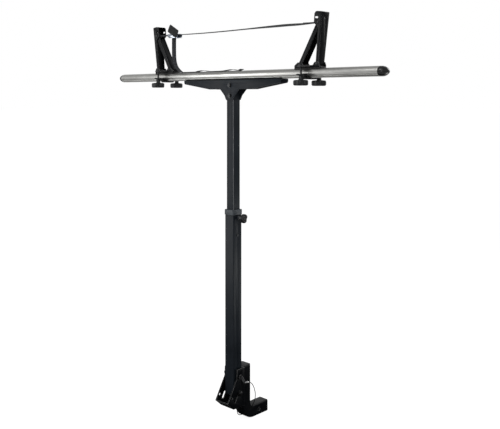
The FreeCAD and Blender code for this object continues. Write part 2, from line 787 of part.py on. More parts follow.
def post_collar():
    """The plastic collar that guides the inner post and covers the end of the outer one."""
    body = new_body("post_collar", (0, post_y, collar_top - S["collar_tall"]))
    outer = S["post_side"] + S["collar_wall"] * 2
    pad(body, box_sketch(sketch_on(body, "XY"), outer, outer), S["collar_tall"])
    fillet(body, UP, S["post_corner"] + S["collar_wall"])
    top = number(S["collar_tall"]) - 0.01
    base = body.Tip
    rim = straight_edges(base.Shape, ALONG, lambda middle: middle.z > top)
    soft = body.newObject("PartDesign::Chamfer", "collar_rim")
    soft.Base = (base, rim[:1])
    bind(soft, "Size", S["collar_wall"] / 2)
    doc.recompute()
    seat = S["post_side"] + S["bolt_gap"] * 2
    deep = S["collar_tall"] - S["collar_lip"]
    pocket(body, box_sketch(sketch_on(body, "XY"), seat, seat), deep, back=True)
    throat = S["mast_side"] + S["seat_gap"] * 2
    pocket(body, box_sketch(sketch_on(body, "XY"), throat, throat), back=True)


def clamp_boss():
    """The welded nut that carries the clamp screw."""
    long = S["clamp_boss_long"]
    inner = S["stud_radius"] + S["running_gap"]
    ring = ring_piece("boss_ring", S["clamp_boss_radius"], inner, long, (0, 0, 0), TO_X)
    keep(group("boss", [ring]), "clamp_boss", (half_post, post_y, clamp_height))


def guide_screw():
    """The pan head screw in the side of the post."""
    radius = S["screw_radius"]
    head = rod("guide_head", radius * 1.9, radius * 0.8)
    shank = rod("guide_shank", radius, S["post_wall"] + radius, (0, 0, -(S["post_wall"])))
    piece = joined("guide_piece", [head, shank])
    keep(piece, "guide_screw", (half_post, post_y, screw_height), TO_X)


def lobed_knob(label, radius, thick, lobes, hub_radius, hub_long, hole_radius, hole_end, at, turn):
    """A hand knob on the Z axis: lobed grip from zero up, hub below it, blind hole from the hub."""
    body = new_body(label, at, turn)
    pad(body, circle(sketch_on(body, "XY"), 0, 0, radius), thick)
    scallop = radius * math.sin(math.pi / lobes) * 0.72
    reach = radius * 1.22
    bite = circle(sketch_on(body, "XY"), reach, 0, scallop)
    hollow = pocket(body, bite, back=True)
    ring = body.newObject("PartDesign::PolarPattern", label + "_lobes")
    ring.Originals = [hollow]
    axis = [p for p in body.Origin.OriginFeatures if p.Role == "Z_Axis"][0]
    ring.Axis = (axis, [""])
    ring.Angle = 360.0
    ring.Occurrences = lobes
    body.Tip = ring
    doc.recompute()
    rims = []
    for i, edge in enumerate(ring.Shape.Edges, start=1):
        flat = edge.BoundBox.ZLength < 1e-6
        if flat and not (edge.isClosed() and edge.Curve.Radius < number(hub_radius)):
            rims.append("Edge%d" % i)
    soft = body.newObject("PartDesign::Fillet", label + "_rim")
    soft.Base = (ring, rims)
    soft.Radius = 2.5
    doc.recompute()
    pad(body, circle(sketch_on(body, "XY"), 0, 0, hub_radius), hub_long, back=True)
    well = circle(sketch_on(body, "XY", -hub_long), 0, 0, hole_radius)
    pocket(body, well, hub_long + hole_end, back=True)
    return body


def post_clamp():
    """The clamp screw of the post and its three-lobed knob."""
    boss_end = half_post + S["clamp_boss_long"]
    knob_face = boss_end + S["wing_stand"]
    stud_start = S["mast_side"] / 2 + S["seat_gap"]
    grip = S["wing_thick"] / 2
    stud = rod("clamp_stud", S["stud_radius"], knob_face + grip - stud_start)
    keep(stud, "post_clamp_stud", (stud_start, post_y, clamp_height), TO_X)
    lobed_knob("post_clamp_knob", S["wing_radius"], S["wing_thick"], 3, S["stud_radius"] * 2,
               S["wing_stand"] - S["seat_gap"], S["stud_radius"] + S["running_gap"], grip,
               (knob_face, post_y, clamp_height), TO_X)


# Mast

def inner_post():
    body = new_body("inner_post", at_post)
    top = S["bar_seat"] - S["sheet"] - S["bolt_gap"]
    square_tube(body, S["mast_side"], S["mast_wall"], S["mast_corner"], S["mast_foot"], top)
    for deep in (S["head_bolt_deep"], S["head_bolt_deep"] + S["head_bolt_step"]):
        bore(body, "XZ", 0, S["bar_seat"] - deep, S["head_bolt_radius"] + S["bolt_gap"])


def inner_glide():
    """The glide block that closes the foot of the inner post and runs in the outer one."""
    body = new_body("inner_glide", (0, post_y, S["mast_foot"]))
    shoe = S["post_side"] - S["post_wall"] * 2 - S["seat_gap"] * 2
    pad(body, box_sketch(sketch_on(body, "XY"), shoe, shoe), S["glide_tall"], back=True)
    fillet(body, UP, 2.0)
    plug = S["mast_side"] - S["mast_wall"] * 2 - S["plug_gap"] * 2
    pad(body, box_sketch(sketch_on(body, "XY"), plug, plug), S["plug_deep"])


def bar_bracket():
    """The folded channel under the crossbar, with its tapered arms and its tail down the post."""
    body = new_body("bar_bracket", (0, post_y, S["bar_seat"]))
    half_outline = [
        (S["arm_half"], 0),
        (S["arm_half"], -S["arm_lip"]),
        (S["arm_reach"], -S["arm_deep"]),
        (S["neck_reach"], -S["arm_deep"]),
        (S["throat_reach"], -S["throat_deep"]),
        (S["tail_reach"], -S["tail_deep"]),
    ]
    mirrored = [(-x, z) for x, z in reversed(half_outline)]
    pad(body, polygon(sketch_on(body, "XZ"), half_outline + mirrored), bracket_wide, both=True)
    fillet(body, ALONG, S["sheet"], lambda middle: middle.z > -0.01)
    top = number(S["arm_lip"])
    fillet(body, ACROSS, 8.0, lambda middle: middle.z < -top + 0.01)
    inside = bracket_wide - S["sheet"] * 2
    reach = S["arm_half"] * 1.1
    room = oblong(sketch_on(body, "XZ"), -reach, reach, -S["tail_deep"] * 1.1, -S["sheet"])
    pocket(body, room, inside, both=True)
    for deep in (S["head_bolt_deep"], S["head_bolt_deep"] + S["head_bolt_step"]):
        bore(body, "XZ", 0, -deep, S["head_bolt_radius"] + S["bolt_gap"])
    for place_x in (S["fixing_inner"], fixing_outer):
        for side in (-1, 1):
            bore(body, "XY", side * place_x, 0, S["fixing_radius"] + S["bolt_gap"])


def bracket_bolts():
    """Two hex bolts through the bracket and the head of the inner post."""
    radius = S["head_bolt_radius"]
    pieces = []
    for i, deep in enumerate((S["head_bolt_deep"], S["head_bolt_deep"] + S["head_bolt_step"])):
        bolt = hex_bolt("head_bolt_%d" % i, radius, bracket_wide, radius * 1.8, radius * 1.2, radius * 1.6)
        place(bolt, (0, -bracket_wide / 2, -deep), TO_Y)
        pieces.append(bolt)
    keep(group("head_bolts", pieces), "bracket_bolts", (0, post_y, S["bar_seat"]))


def bar_fixings():
    """Four slot bolts that hold the crossbar on the bracket, with their nuts."""
    pieces = []
    radius = S["fixing_radius"]
    neck = S["slot_neck"] - S["bar_flat"]
    head_wide = S["slot_room"] - S["seat_gap"] * 4
    for place_x in (S["fixing_inner"], fixing_outer):
        for side in (-1, 1):
            name = "fixing_%d" % len(pieces)
            head = block(name + "_head", radius * 3, head_wide, radius, (-radius * 1.5, -head_wide / 2, neck))
            below = S["sheet"] + radius * 2.6
            shank = rod(name + "_shank", radius, neck + below, (0, 0, -below))
            nut = hexagon(name + "_nut", radius * 1.8, radius * 1.6, (0, 0, -S["sheet"] - radius * 1.6))
            bolt = joined(name, [head, shank, nut])
            place(bolt, (side * place_x, 0, 0))
            pieces.append(bolt)
    keep(group("fixings", pieces), "bar_fixings", (0, post_y, S["bar_seat"]))


def crossbar():
    """The oval extruded bar, hollow, with a bolt slot underneath and a groove along each flank."""
    half = S["bar_long"] / 2
    long = S["bar_long"]
    middle = S["bar_tall"] / 2
    skin = oval_prism("bar_skin", S["bar_wide"], S["bar_tall"], long, -half, middle)
    hollow_wide = S["bar_wide"] - S["bar_wall"] * 2
    hollow_tall = S["bar_tall"] - S["bar_wall"] * 2
    hollow = oval_prism("bar_hollow", hollow_wide, hollow_tall, long, -half, middle)
    wall = S["bar_wall"]
    rail_wide = S["slot_room"] + wall * 2
    rail = block("bar_rail", long, rail_wide, S["slot_deep"] + wall, (-half, -rail_wide / 2, 0))
    solid_bar = joined("bar_filled", [cut("bar_tube", skin, hollow), common("bar_rail_in", rail, skin)])
    neck = block("bar_neck", long, S["slot_wide"], S["slot_neck"] * 2, (-half, -S["slot_wide"] / 2, -S["slot_neck"]))
    room_tall = S["slot_deep"] - S["slot_neck"]
    room = block("bar_room", long, S["slot_room"], room_tall, (-half, -S["slot_room"] / 2, S["slot_neck"]))
    flat = block("bar_under", long, S["bar_wide"], S["bar_flat"] * 2, (-half, -S["bar_wide"] / 2, -S["bar_flat"]))
    tools = [neck, room, flat]
    groove_drop = 0.3
    groove_reach = S["bar_wide"] / 2 * math.sqrt(1 - (2 * groove_drop) ** 2)
    groove_height = middle - S["bar_tall"] * groove_drop
    for side in (-1, 1):
        tools.append(rod("bar_groove", 1.4, long, (-half, side * groove_reach, groove_height), TO_X))
    bar = cut("bar_piece", solid_bar, joined("bar_tools", tools))
    keep(bar, "crossbar", (0, post_y, S["bar_seat"] - S["bar_flat"]))


# Nose of the end cap: share of its reach, share of the bar's size
NOSE_STEPS = [(0.0, 1.0), (0.3, 0.93), (0.62, 0.72), (0.88, 0.38), (1.0, 0.1)]


def nose_oval(label, reach, share):
    """One section of the nose of an end cap."""
    ring = doc.addObject("Part::Ellipse", label + "_section")
    bind(ring, "MajorRadius", S["bar_wide"] / 2 * share)
    bind(ring, "MinorRadius", S["bar_tall"] / 2 * share)
    turn = FreeCAD.Rotation(Vec(0, 1, 0), Vec(0, 0, 1), Vec(1, 0, 0), "ZXY")
    place(ring, (S["cap_reach"] * reach, 0, 0), turn)
    return ring


def end_cap(side, label):
    """The domed plastic cap and its plug in the end of the bar."""
    wall = S["bar_wall"] + S["plug_gap"]
    plug = oval_prism(label + "_plug", S["bar_wide"] - wall * 2, S["bar_tall"] - wall * 2,
                      S["plug_deep"], -S["plug_deep"], 0)
    rail_wide = S["slot_room"] + wall * 2
    rail_top = S["slot_deep"] + wall - S["bar_tall"] / 2
    rail = block(label + "_rail", S["plug_deep"] * 2, rail_wide, S["bar_tall"],
                 (-S["plug_deep"] * 1.5, -rail_wide / 2, rail_top - S["bar_tall"]))
    dome = doc.addObject("Part::Loft", label + "_nose")
    dome.Sections = [nose_oval(label, reach, share) for reach, share in NOSE_STEPS]
    dome.Solid = True
    dome.Ruled = False
    piece = joined(label + "_piece", [cut(label + "_plug_cut", plug, rail), dome])
    turn = FreeCAD.Rotation(UP, 0 if side > 0 else 180)
    keep(piece, label, (side * S["bar_long"] / 2, post_y, bar_middle), turn)


# Load supports: local x runs outward along the bar, zero height is the crest of the bar

def side_turn(side):
    return FreeCAD.Rotation(UP, 0 if side > 0 else 180)


def support_place(side):
    return S["support_right"] if side > 0 else S["support_left"]


def support_at(side, out=0, up=0):
    return (side * (support_place(side) + out), post_y, bar_crest + up)


def head_pin_place(side):
    return support_place(side) + S["foot_out"] - S["head_in"]


def support_base(side, name):
    """The folded channel on the bar: lugs for the foot pin, hooked notches for the brace pin."""
    body = new_body("support_base_" + name, support_at(side), side_turn(side))
    low = S["base_low"]
    lug = S["foot_rise"] + S["lug_radius"]
    half = S["base_half"]
    metal = S["lug_radius"] * 1.25
    outline = [
        (-half, S["pad_thick"]),
        (half, S["pad_thick"]),
        (half, low),
        (S["foot_out"] + metal, lug),
        (S["foot_out"] - metal, lug),
        (S["foot_out"] - metal * 2, low),
        (-S["brace_in"] + metal * 2, low),
        (-S["brace_in"] + metal, lug),
        (-S["brace_in"] - metal, lug),
        (-half, low),
    ]
    wide = S["base_inside"] + S["base_sheet"] * 2
    pad(body, polygon(sketch_on(body, "XZ"), outline), wide, both=True)
    fillet(body, ALONG, S["base_sheet"], lambda middle: middle.z < number(S["pad_thick"]) + 0.01)
    room = oblong(sketch_on(body, "XZ"), -half * 1.2, half * 1.2, base_floor_top, lug * 1.2)
    pocket(body, room, S["base_inside"], both=True)
    bore(body, "XZ", S["foot_out"], S["foot_rise"], S["link_radius"] + S["bolt_gap"])
    hook_notch(body)
    yoke_gap = S["yoke_wide"] / 2 + S["bolt_gap"]
    window = oblong(sketch_on(body, "XZ"), -yoke_gap, yoke_gap, base_floor_top, base_floor_top + S["yoke_thick"])
    pocket(body, window, both=True)


def hook_notch(body):
    """A slot that leans outward, the way the brace pin leaves when the support folds."""
    reach = S["link_radius"] + S["seat_gap"]
    x = -S["brace_in"]
    z = S["foot_rise"]
    bore(body, "XZ", x, z, reach)
    out_x = 0.349
    out_z = 0.937
    far = S["lug_radius"] * 2
    shape = [
        (-reach * 0.5, reach * 0.8),
        (reach * 0.3, reach * 1.04),
        (far, reach * 1.35),
    ]
    corners = [(x + a * out_x - w * out_z, z + a * out_z + w * out_x) for a, w in shape]
    corners += [(x + a * out_x + w * out_z, z + a * out_z - w * out_x)
                for a, w in reversed(shape)]
    pocket(body, polygon(sketch_on(body, "XZ"), corners), both=True)


def bar_pad(side, name):
    """The rubber pad that fits the crest of the bar."""
    long = S["base_half"] * 2
    half_wide = S["pad_half"]
    deep = S["bar_tall"] / 4
    pad_block = block("pad_block_" + name, long, half_wide * 2, deep + S["pad_thick"],
                      (-S["base_half"], -half_wide, -deep))
    gap = S["seat_gap"] * 2
    bar = oval_prism("pad_bar_" + name, S["bar_wide"] + gap, S["bar_tall"] + gap,
                     long * 2, -long, -S["bar_tall"] / 2)
    keep(cut("pad_piece_" + name, pad_block, bar), "bar_pad_" + name, support_at(side), side_turn(side))


def clamp_yoke(side, name):
    """The cross plate through the base that the clamp bolts pull down."""
    body = new_body("clamp_yoke_" + name, support_at(side, 0, base_floor_top), side_turn(side))
    deep = (S["clamp_reach"] + S["yoke_end"]) * 2
    pad(body, box_sketch(sketch_on(body, "XY"), S["yoke_wide"], deep), S["yoke_thick"])
    fillet(body, UP, S["yoke_end"])
    for end in (-1, 1):
        bore(body, "XY", 0, end * S["clamp_reach"], S["clamp_radius"] + S["bolt_gap"])


def clamp_saddle(side, name):
    """The bent plate under the bar: two arms, sloping sides and a flat seat."""
    body = new_body("clamp_saddle_" + name, support_at(side), side_turn(side))
    end = S["clamp_reach"] + S["yoke_end"]
    arm = -S["saddle_arm"]
    seat = -(S["bar_tall"] - S["bar_flat"] + S["seat_gap"])
    thick = S["saddle_thick"]
    knee = S["bar_wide"] / 2 + thick
    toe = S["bar_wide"] / 3
    slant = thick / 2
    right = [
        (toe + slant, seat - thick),
        (knee + slant, arm - thick),
        (end, arm - thick),
        (end, arm),
        (knee, arm),
        (toe, seat),
    ]
    left = [(-y, z) for y, z in reversed(right)]
    pad(body, polygon(sketch_on(body, "YZ"), right + left), S["saddle_wide"], both=True)
    for far in (-1, 1):
        bore(body, "XY", 0, far * S["clamp_reach"], S["clamp_radius"] + S["bolt_gap"])


def clamp_bolts(side, name):
    """Two round-headed bolts from the yoke down through the saddle to the knobs."""
    top = base_floor_top + S["yoke_thick"]
    end = knob_top - S["knob_hub"] - S["knob_thick"] * 0.75
    pieces = []
    for far in (-1, 1):
        label = "clamp_bolt_%s_%d" % (name, far)
        shank = rod(label + "_shank", S["clamp_radius"], top - end, (0, 0, end))
        ball_radius = S["clamp_radius"] * 3
        ball = solid("Sphere", label + "_ball", Radius=ball_radius)
        place(ball, (0, 0, top - ball_radius * 0.66))
        over = block(label + "_over", ball_radius * 2, ball_radius * 2, ball_radius,
                     (-ball_radius, -ball_radius, top))
        bolt = joined(label, [shank, common(label + "_head", ball, over)])
        place(bolt, (0, far * S["clamp_reach"], 0))
        pieces.append(bolt)
    keep(group("clamp_bolt_pair_" + name, pieces), "clamp_bolts_" + name, support_at(side), side_turn(side))


def clamp_knob(side, name, far, where):
    """A five-lobed hand knob under the saddle; it hangs with its hub up."""
    grip_top = knob_top - S["knob_hub"]
    label = "clamp_knob_%s_%s" % (name, where)
    x, y, z = support_at(side, 0, grip_top)
    lobed_knob(label, S["knob_radius"], S["knob_thick"], 5, S["knob_hub_radius"], S["knob_hub"],
               S["clamp_radius"] + S["running_gap"], S["knob_thick"] * 0.75 + S["seat_gap"],
               (x, y + far * S["clamp_reach"], z), TO_DOWN)


def link_pin(label, half_long, at):
    """A pin across the bar with a low round head at each end."""
    radius = S["link_radius"]
    head = radius / 2
    shank = rod(label + "_shank", radius, half_long * 2, (0, -half_long, 0), TO_Y)
    near = rod(label + "_near", radius * 1.6, head, (0, -half_long - head, 0), TO_Y)
    far = rod(label + "_far", radius * 1.6, head, (0, half_long, 0), TO_Y)
    keep(joined(label + "_piece", [shank, near, far]), label, at)


def upright(side, name):
    """The outer leg: a channel open inward, wider and deeper at the head that takes the brace."""
    at = support_at(side, S["foot_out"], S["foot_rise"])
    turn = side_turn(side).multiply(FreeCAD.Rotation(ACROSS, number(S["upright_lean"])))
    body = new_body("upright_" + name, at, turn)
    half = S["upright_deep"] / 2
    tall = S["upright_tall"]
    head_low = tall - S["head_tall"]
    head_x = half - S["head_deep"]
    outline = [
        (half, -half),
        (half, tall),
        (head_x, tall),
        (head_x, head_low),
        (-half, head_low - S["upright_deep"]),
        (-half, -half),
    ]
    pad(body, polygon(sketch_on(body, "XZ"), outline), S["head_wide"], both=True)
    low = -number(half) + 0.01
    fillet(body, ACROSS, half - S["bolt_gap"], lambda middle: middle.z < low)
    high = number(tall) - 0.01
    fillet(body, ACROSS, S["head_round"], lambda middle: middle.z > high and middle.x < 0)
    fillet(body, ACROSS, S["head_round"] / 3, lambda middle: middle.z > high)
    for flank in (-1, 1):
        flank_line = flank_at(flank, 0, S["head_round"])
        beyond = flank * S["head_wide"]
        wedge = [flank_line[0], (beyond, flank_line[0][1]), (beyond, flank_line[1][1]), flank_line[1]]
        pocket(body, polygon(sketch_on(body, "YZ"), wedge), both=True)
    sheet_in = S["upright_sheet"]
    right = flank_at(1, sheet_in, -sheet_in)
    left = flank_at(-1, sheet_in, -sheet_in)
    room = sketch_on(body, "YZ", half - sheet_in)
    pocket(body, polygon(room, [left[0], right[0], right[1], left[1]]))
    head_openings(body, half)


def flank_at(flank, inset, over):
    """Two points of the flank's slanted side, below the foot and at the head."""
    low = -S["upright_deep"]
    rise = S["upright_tall"] + S["upright_deep"]
    slope = (S["head_wide"] - S["foot_wide"]) / 2 / rise
    foot = flank * (S["foot_wide"] / 2 - inset)
    high = S["upright_tall"] + over
    return (foot, low), (foot + flank * slope * (high - low), high)


def leaned(out, up):
    """A place outward of and above the foot pin, turned into the leaning frame of the upright."""
    lean = math.radians(number(S["upright_lean"]))
    across = out * math.cos(lean) - up * math.sin(lean)
    return across, out * math.sin(lean) + up * math.cos(lean)


def head_openings(body, half):
    """Pin holes, a slot through both sides of the head, and a round hole in its web."""
    bore(body, "XZ", 0, 0, S["link_radius"] + S["running_gap"])
    pin_x, pin_z = leaned(-S["head_in"], S["head_rise"])
    bore(body, "XZ", pin_x, pin_z, S["link_radius"] + S["bolt_gap"])
    across, middle = leaned(S["tie_out"], S["head_rise"] + S["tie_rise"])
    reach = S["tie_reach"]
    slot = oblong(sketch_on(body, "XZ"), across - reach, across + reach,
                  middle - S["tie_radius"], middle + S["tie_radius"])
    pocket(body, slot, both=True)
    for end in (-1, 1):
        bore(body, "XZ", across + end * reach, middle, S["tie_radius"])
    bore(body, "YZ", 0, middle, S["tie_radius"], lift=half, length=S["upright_sheet"] * 2, both=False)


def brace_tilt():
    """Angle of the brace from upright, in degrees, and its length between pins."""
    across = number(S["foot_out"] - S["head_in"] + S["brace_in"])
    rise = number(S["head_rise"])
    return math.degrees(math.atan2(across, rise)), math.hypot(across, rise)


def brace(side, name):
    """The inner leg: a channel that pivots on the head pin and nests in the upright."""
    tilt, long = brace_tilt()
    at = support_at(side, S["foot_out"] - S["head_in"], S["foot_rise"] + S["head_rise"])
    turn = side_turn(side).multiply(FreeCAD.Rotation(ACROSS, tilt))
    body = new_body("brace_" + name, at, turn)
    half = S["brace_deep"] / 2
    ends = (S["lug_radius"], -long - S["lug_radius"])
    brace_wide = S["brace_wide"]
    pad(body, oblong(sketch_on(body, "XZ"), -half, half, ends[1], ends[0]), brace_wide, both=True)
    fillet(body, ACROSS, half - S["bolt_gap"])
    inside = brace_wide - S["brace_sheet"] * 2
    skin = -half + S["brace_sheet"]
    room = oblong(sketch_on(body, "XZ"), skin, half * 1.5, ends[1] * 1.2, ends[0] * 2)
    pocket(body, room, inside, both=True)
    open_head = oblong(sketch_on(body, "XZ"), -half * 1.5, half * 1.5, -S["head_tall"] / 2, ends[0] * 2)
    pocket(body, open_head, inside, both=True)
    bore(body, "XZ", 0, 0, S["link_radius"] + S["running_gap"])
    bore(body, "XZ", 0, -long, S["link_radius"] + S["bolt_gap"])


def load_support(side, name):
    """One complete support: base, pad, clamp, pins, upright, brace and knobs."""
    support_base(side, name)
    bar_pad(side, name)
    clamp_yoke(side, name)
    clamp_saddle(side, name)
    clamp_bolts(side, name)
    base_half_wide = S["base_inside"] / 2 + S["base_sheet"]
    link_pin("foot_pin_" + name, base_half_wide, support_at(side, S["foot_out"], S["foot_rise"]))
    for far, where in ((-1, "front"), (1, "rear")):
        clamp_knob(side, name, far, where)
    upright(side, name)
    head = support_at(side, S["foot_out"] - S["head_in"], S["foot_rise"] + S["head_rise"])
    slope = (S["head_wide"] - S["foot_wide"]) / 2 / (S["upright_tall"] + S["upright_deep"])
    head_half = S["foot_wide"] / 2 + slope * (S["head_rise"] + S["upright_deep"])
    link_pin("head_pin_" + name, head_half + S["seat_gap"], head)
    brace(side, name)
    link_pin("brace_pin_" + name, base_half_wide + S["seat_gap"],
             support_at(side, -S["brace_in"], S["foot_rise"]))


# Strap: flat webbing, its width across the bar

def ribbon(label, points, at, loop=None):
    """Webbing along a list of x, z points, with an optional loop round a pin at a point."""
    half = number(S["strap_thick"]) / 2
    wide = number(S["strap_wide"])
    flat = [Vec(x, 0, z) for x, z in points]
    upper = []
    lower = []
    for i, point in enumerate(flat):
        ways = []
        if i > 0:
            ways.append((point - flat[i - 1]).normalize())
        if i < len(flat) - 1:
            ways.append((flat[i + 1] - point).normalize())
        way = sum(ways[1:], ways[0])
        way.normalize()
        stretch = half / max(0.5, way.dot(ways[0]))
        side = Vec(-way.z, 0, way.x) * stretch
        upper.append(point + side)
        lower.append(point - side)
    outline = upper + lower[::-1] + upper[:1]
    face = Part.Face(Part.makePolygon(outline))
    face.translate(Vec(0, -wide / 2, 0))
    shape = face.extrude(Vec(0, wide, 0))
    if loop is not None:
        centre, inner, outer = loop
        base = Vec(centre[0], -wide / 2, centre[1])
        tube = Part.makeCylinder(outer, wide, base, ACROSS)
        hole = Part.makeCylinder(inner, wide, base, ACROSS)
        shape = shape.fuse(tube).cut(hole).removeSplitter()
    made = doc.addObject("Part::Feature", label + "_webbing")
    made.Shape = shape
    return keep(made, label, at)


STRAP_SEAM = 300.0
STRAP_MIDDLE = 50.0
TAIL_SEAM = 316.0
TAIL_END = 52.0


def straps():
    """The strap from head to head, its two seams, and the tail that hangs and lies on the bar."""
    at = (0, post_y, strap_height)
    pin = number(head_pin_place(1))
    left_pin = number(head_pin_place(-1))
    inner = number(S["link_radius"] + S["seat_gap"])
    outer = inner + number(S["strap_thick"])
    grip = number(S["cam_place"] - S["cam_radius"] - S["strap_thick"])
    ribbon("strap_left_end", [(-grip, 0), (-STRAP_SEAM, 0)], at)
    ribbon("strap_left_span", [(-STRAP_SEAM, 0), (STRAP_MIDDLE, 0)], at)
    ribbon("strap_right_span", [(STRAP_MIDDLE, 0), (STRAP_SEAM, 0)], at)
    ribbon("strap_right_end", [(STRAP_SEAM, 0), (pin - inner * 0.9, 0)], at, ((pin, 0), inner, outer))
    frame_bar = number(S["buckle_left"]) - 4.0
    first = (-left_pin + inner * 0.9, 0)
    ribbon("buckle_loop", [first, (-frame_bar - 2.6, 0)], at, ((-left_pin, 0), inner, outer))
    tails(at)


def tails(at):
    """The loose end: down from the buckle, round onto the bar, and along its crest."""
    half = number(S["strap_thick"]) / 2
    drop = number(strap_height - bar_crest)
    lie = -drop + half + number(S["seat_gap"])
    down = [
        (-386.0, -2.5),
        (-386.5, -60.0),
        (-385.0, -105.0),
        (-379.0, -132.0),
        (-367.0, -151.0),
        (-351.0, -164.0),
        (-335.0, lie + 0.8),
        (-325.0, lie),
        (-TAIL_SEAM, lie),
    ]
    along = [
        (-TAIL_SEAM, lie),
        (-232.0, lie),
        (-222.0, lie + 1.5),
        (-190.0, lie + 4.5),
        (-158.0, lie + 1.5),
        (-146.0, lie),
        (-70.0, lie),
        (-40.0, lie + 1.5),
        (-6.0, lie + 4.5),
        (24.0, lie + 1.0),
        (36.0, lie + 0.3),
        (TAIL_END, lie + 5.0),
    ]
    ribbon("strap_tail_drop", down, at)
    ribbon("strap_tail_run", along, at)


# Buckle: hangs under the strap at the left head

def buckle_frame():
    """The folded metal frame: a top plate, two cheeks, the loop bar and the strap bar."""
    body = new_body("buckle_frame", (0, post_y, strap_height))
    left = -S["buckle_left"]
    right = -S["buckle_right"]
    top = S["strap_thick"] * 2
    skin = S["buckle_sheet"]
    low = -(S["cam_drop"] + S["cam_radius"] + skin)
    slope = S["cam_radius"] * 2
    outline = [
        (left, top),
        (left, low / 2),
        (left + slope, low),
        (right - slope, low),
        (right, low / 2),
        (right, top),
    ]
    pad(body, polygon(sketch_on(body, "XZ"), outline), S["buckle_wide"], both=True)
    inside = S["buckle_wide"] - skin * 2
    reach = S["buckle_left"]
    room = oblong(sketch_on(body, "XZ"), left * 1.1, right * 0.9, low * 2, top - skin)
    pocket(body, room, inside, both=True)
    bar = circle(sketch_on(body, "XZ"), left + 4.0, 0, 2.5)
    pad(body, bar, S["buckle_wide"] - skin, both=True)
    bore(body, "XZ", -S["cam_place"], -S["cam_drop"], S["cam_pin_radius"] + S["running_gap"])
    return reach


def cam_lever():
    """The toothed cam, its pin, and the thumb lever under the buckle."""
    body = new_body("cam_lever", (-S["cam_place"], post_y, strap_height - S["cam_drop"]))
    inside = S["buckle_wide"] - S["buckle_sheet"] * 2 - S["seat_gap"] * 2
    pad(body, circle(sketch_on(body, "XZ"), 0, 0, S["cam_radius"]), inside, both=True)
    lever = [
        (0, -S["cam_radius"] + 1.8),
        (0, -S["cam_radius"]),
        (28.0, -S["cam_radius"] - 3.0),
        (30.0, -S["cam_radius"] - 1.0),
    ]
    pad(body, polygon(sketch_on(body, "XZ"), lever), inside, both=True)
    pad(body, circle(sketch_on(body, "XZ"), 0, 0, S["cam_pin_radius"]), S["buckle_wide"] - 1.0, both=True)
    teeth = circle(sketch_on(body, "XZ"), 0, S["cam_radius"] + 0.4, 1.0)
    notch = pocket(body, teeth, both=True)
    ring = body.newObject("PartDesign::PolarPattern", "cam_teeth")
    ring.Originals = [notch]
    axis = [p for p in body.Origin.OriginFeatures if p.Role == "Y_Axis"][0]
    ring.Axis = (axis, [""])
    ring.Angle = 90.0
    ring.Occurrences = 4
    body.Tip = ring
    doc.recompute()


def buckle_cover():
    """The padded cover that hangs over the near cheek of the buckle."""
    long = S["cover_long"]
    wide = S["cover_wide"]
    body = new_body("buckle_cover")
    pad(body, box_sketch(sketch_on(body, "XZ"), long, wide), S["cover_thick"], both=True)
    fillet(body, ACROSS, 5.0)
    near = -(S["buckle_wide"] / 2 + S["seat_gap"] + S["cover_thick"] / 2)
    at = (-(S["buckle_right"] + S["cover_in"]), post_y + near, strap_height + S["cover_rise"])
    place(body, at, FreeCAD.Rotation(ACROSS, number(S["cover_tilt"])))


def build():
    hitch_shank()
    shank_cap()
    foot_bracket()
    pivot_bolt()
    pivot_spacers()
    lock_pin_bush()
    lock_pin()
    lock_pin_ring()
    lanyard()
    lanyard_eye()
    rattle_screw()
    outer_post()
    post_collar()
    clamp_boss()
    guide_screw()
    post_clamp()
    inner_post()
    inner_glide()
    bar_bracket()
    bracket_bolts()
    bar_fixings()
    crossbar()
    end_cap(-1, "end_cap_left")
    end_cap(1, "end_cap_right")
    load_support(-1, "left")
    load_support(1, "right")
    straps()
    buckle_frame()
    cam_lever()
    buckle_cover()


def write_parts():
    """Check every object, then write each sub-part to its own file."""
    doc.recompute()
    for thing in doc.Objects:
        if "Invalid" in thing.State or "Error" in thing.State:
            raise RuntimeError("%s did not build" % thing.Label)
    os.makedirs("parts", exist_ok=True)
    for thing in kept:
        shape = thing.Shape
        if shape.isNull() or not shape.isValid() or not shape.Solids:
            raise RuntimeError("%s has no sound shape" % thing.Label)
        shape.exportStep("parts/%s.step" % thing.Label)
    print("%d sub-parts written" % len(kept))


build()
write_parts()
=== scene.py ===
import json
from math import atan2, copysign, cos, pi, radians, sin, sqrt

import bmesh
import bpy
from bpy.props import FloatProperty, FloatVectorProperty, PointerProperty
from bpy.types import NodeSocket, Operator, Panel, PropertyGroup
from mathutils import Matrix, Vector


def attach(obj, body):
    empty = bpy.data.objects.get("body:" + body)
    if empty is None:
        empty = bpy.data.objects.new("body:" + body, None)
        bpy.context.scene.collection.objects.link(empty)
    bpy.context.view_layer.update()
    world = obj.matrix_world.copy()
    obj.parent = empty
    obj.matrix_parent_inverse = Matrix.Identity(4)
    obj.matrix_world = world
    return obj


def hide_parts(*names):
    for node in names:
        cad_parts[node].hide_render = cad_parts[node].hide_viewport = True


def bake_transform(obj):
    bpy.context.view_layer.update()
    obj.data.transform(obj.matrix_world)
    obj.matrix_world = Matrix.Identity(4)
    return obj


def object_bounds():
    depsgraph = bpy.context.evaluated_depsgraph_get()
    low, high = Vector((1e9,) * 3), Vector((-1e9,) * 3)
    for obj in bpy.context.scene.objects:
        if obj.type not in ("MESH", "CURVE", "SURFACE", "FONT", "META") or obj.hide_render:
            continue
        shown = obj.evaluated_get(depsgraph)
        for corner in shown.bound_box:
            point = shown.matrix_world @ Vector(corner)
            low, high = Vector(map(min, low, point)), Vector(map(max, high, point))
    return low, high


bl_info = {
    "name": "Hitch load carrier",
    "version": (1, 0, 0),
    "blender": (4, 5, 0),
    "location": "View3D > Sidebar > Carrier",
    "description": "Dresses a hitch mount load carrier with its strap, hardware and finishes",
    "category": "Object",
}

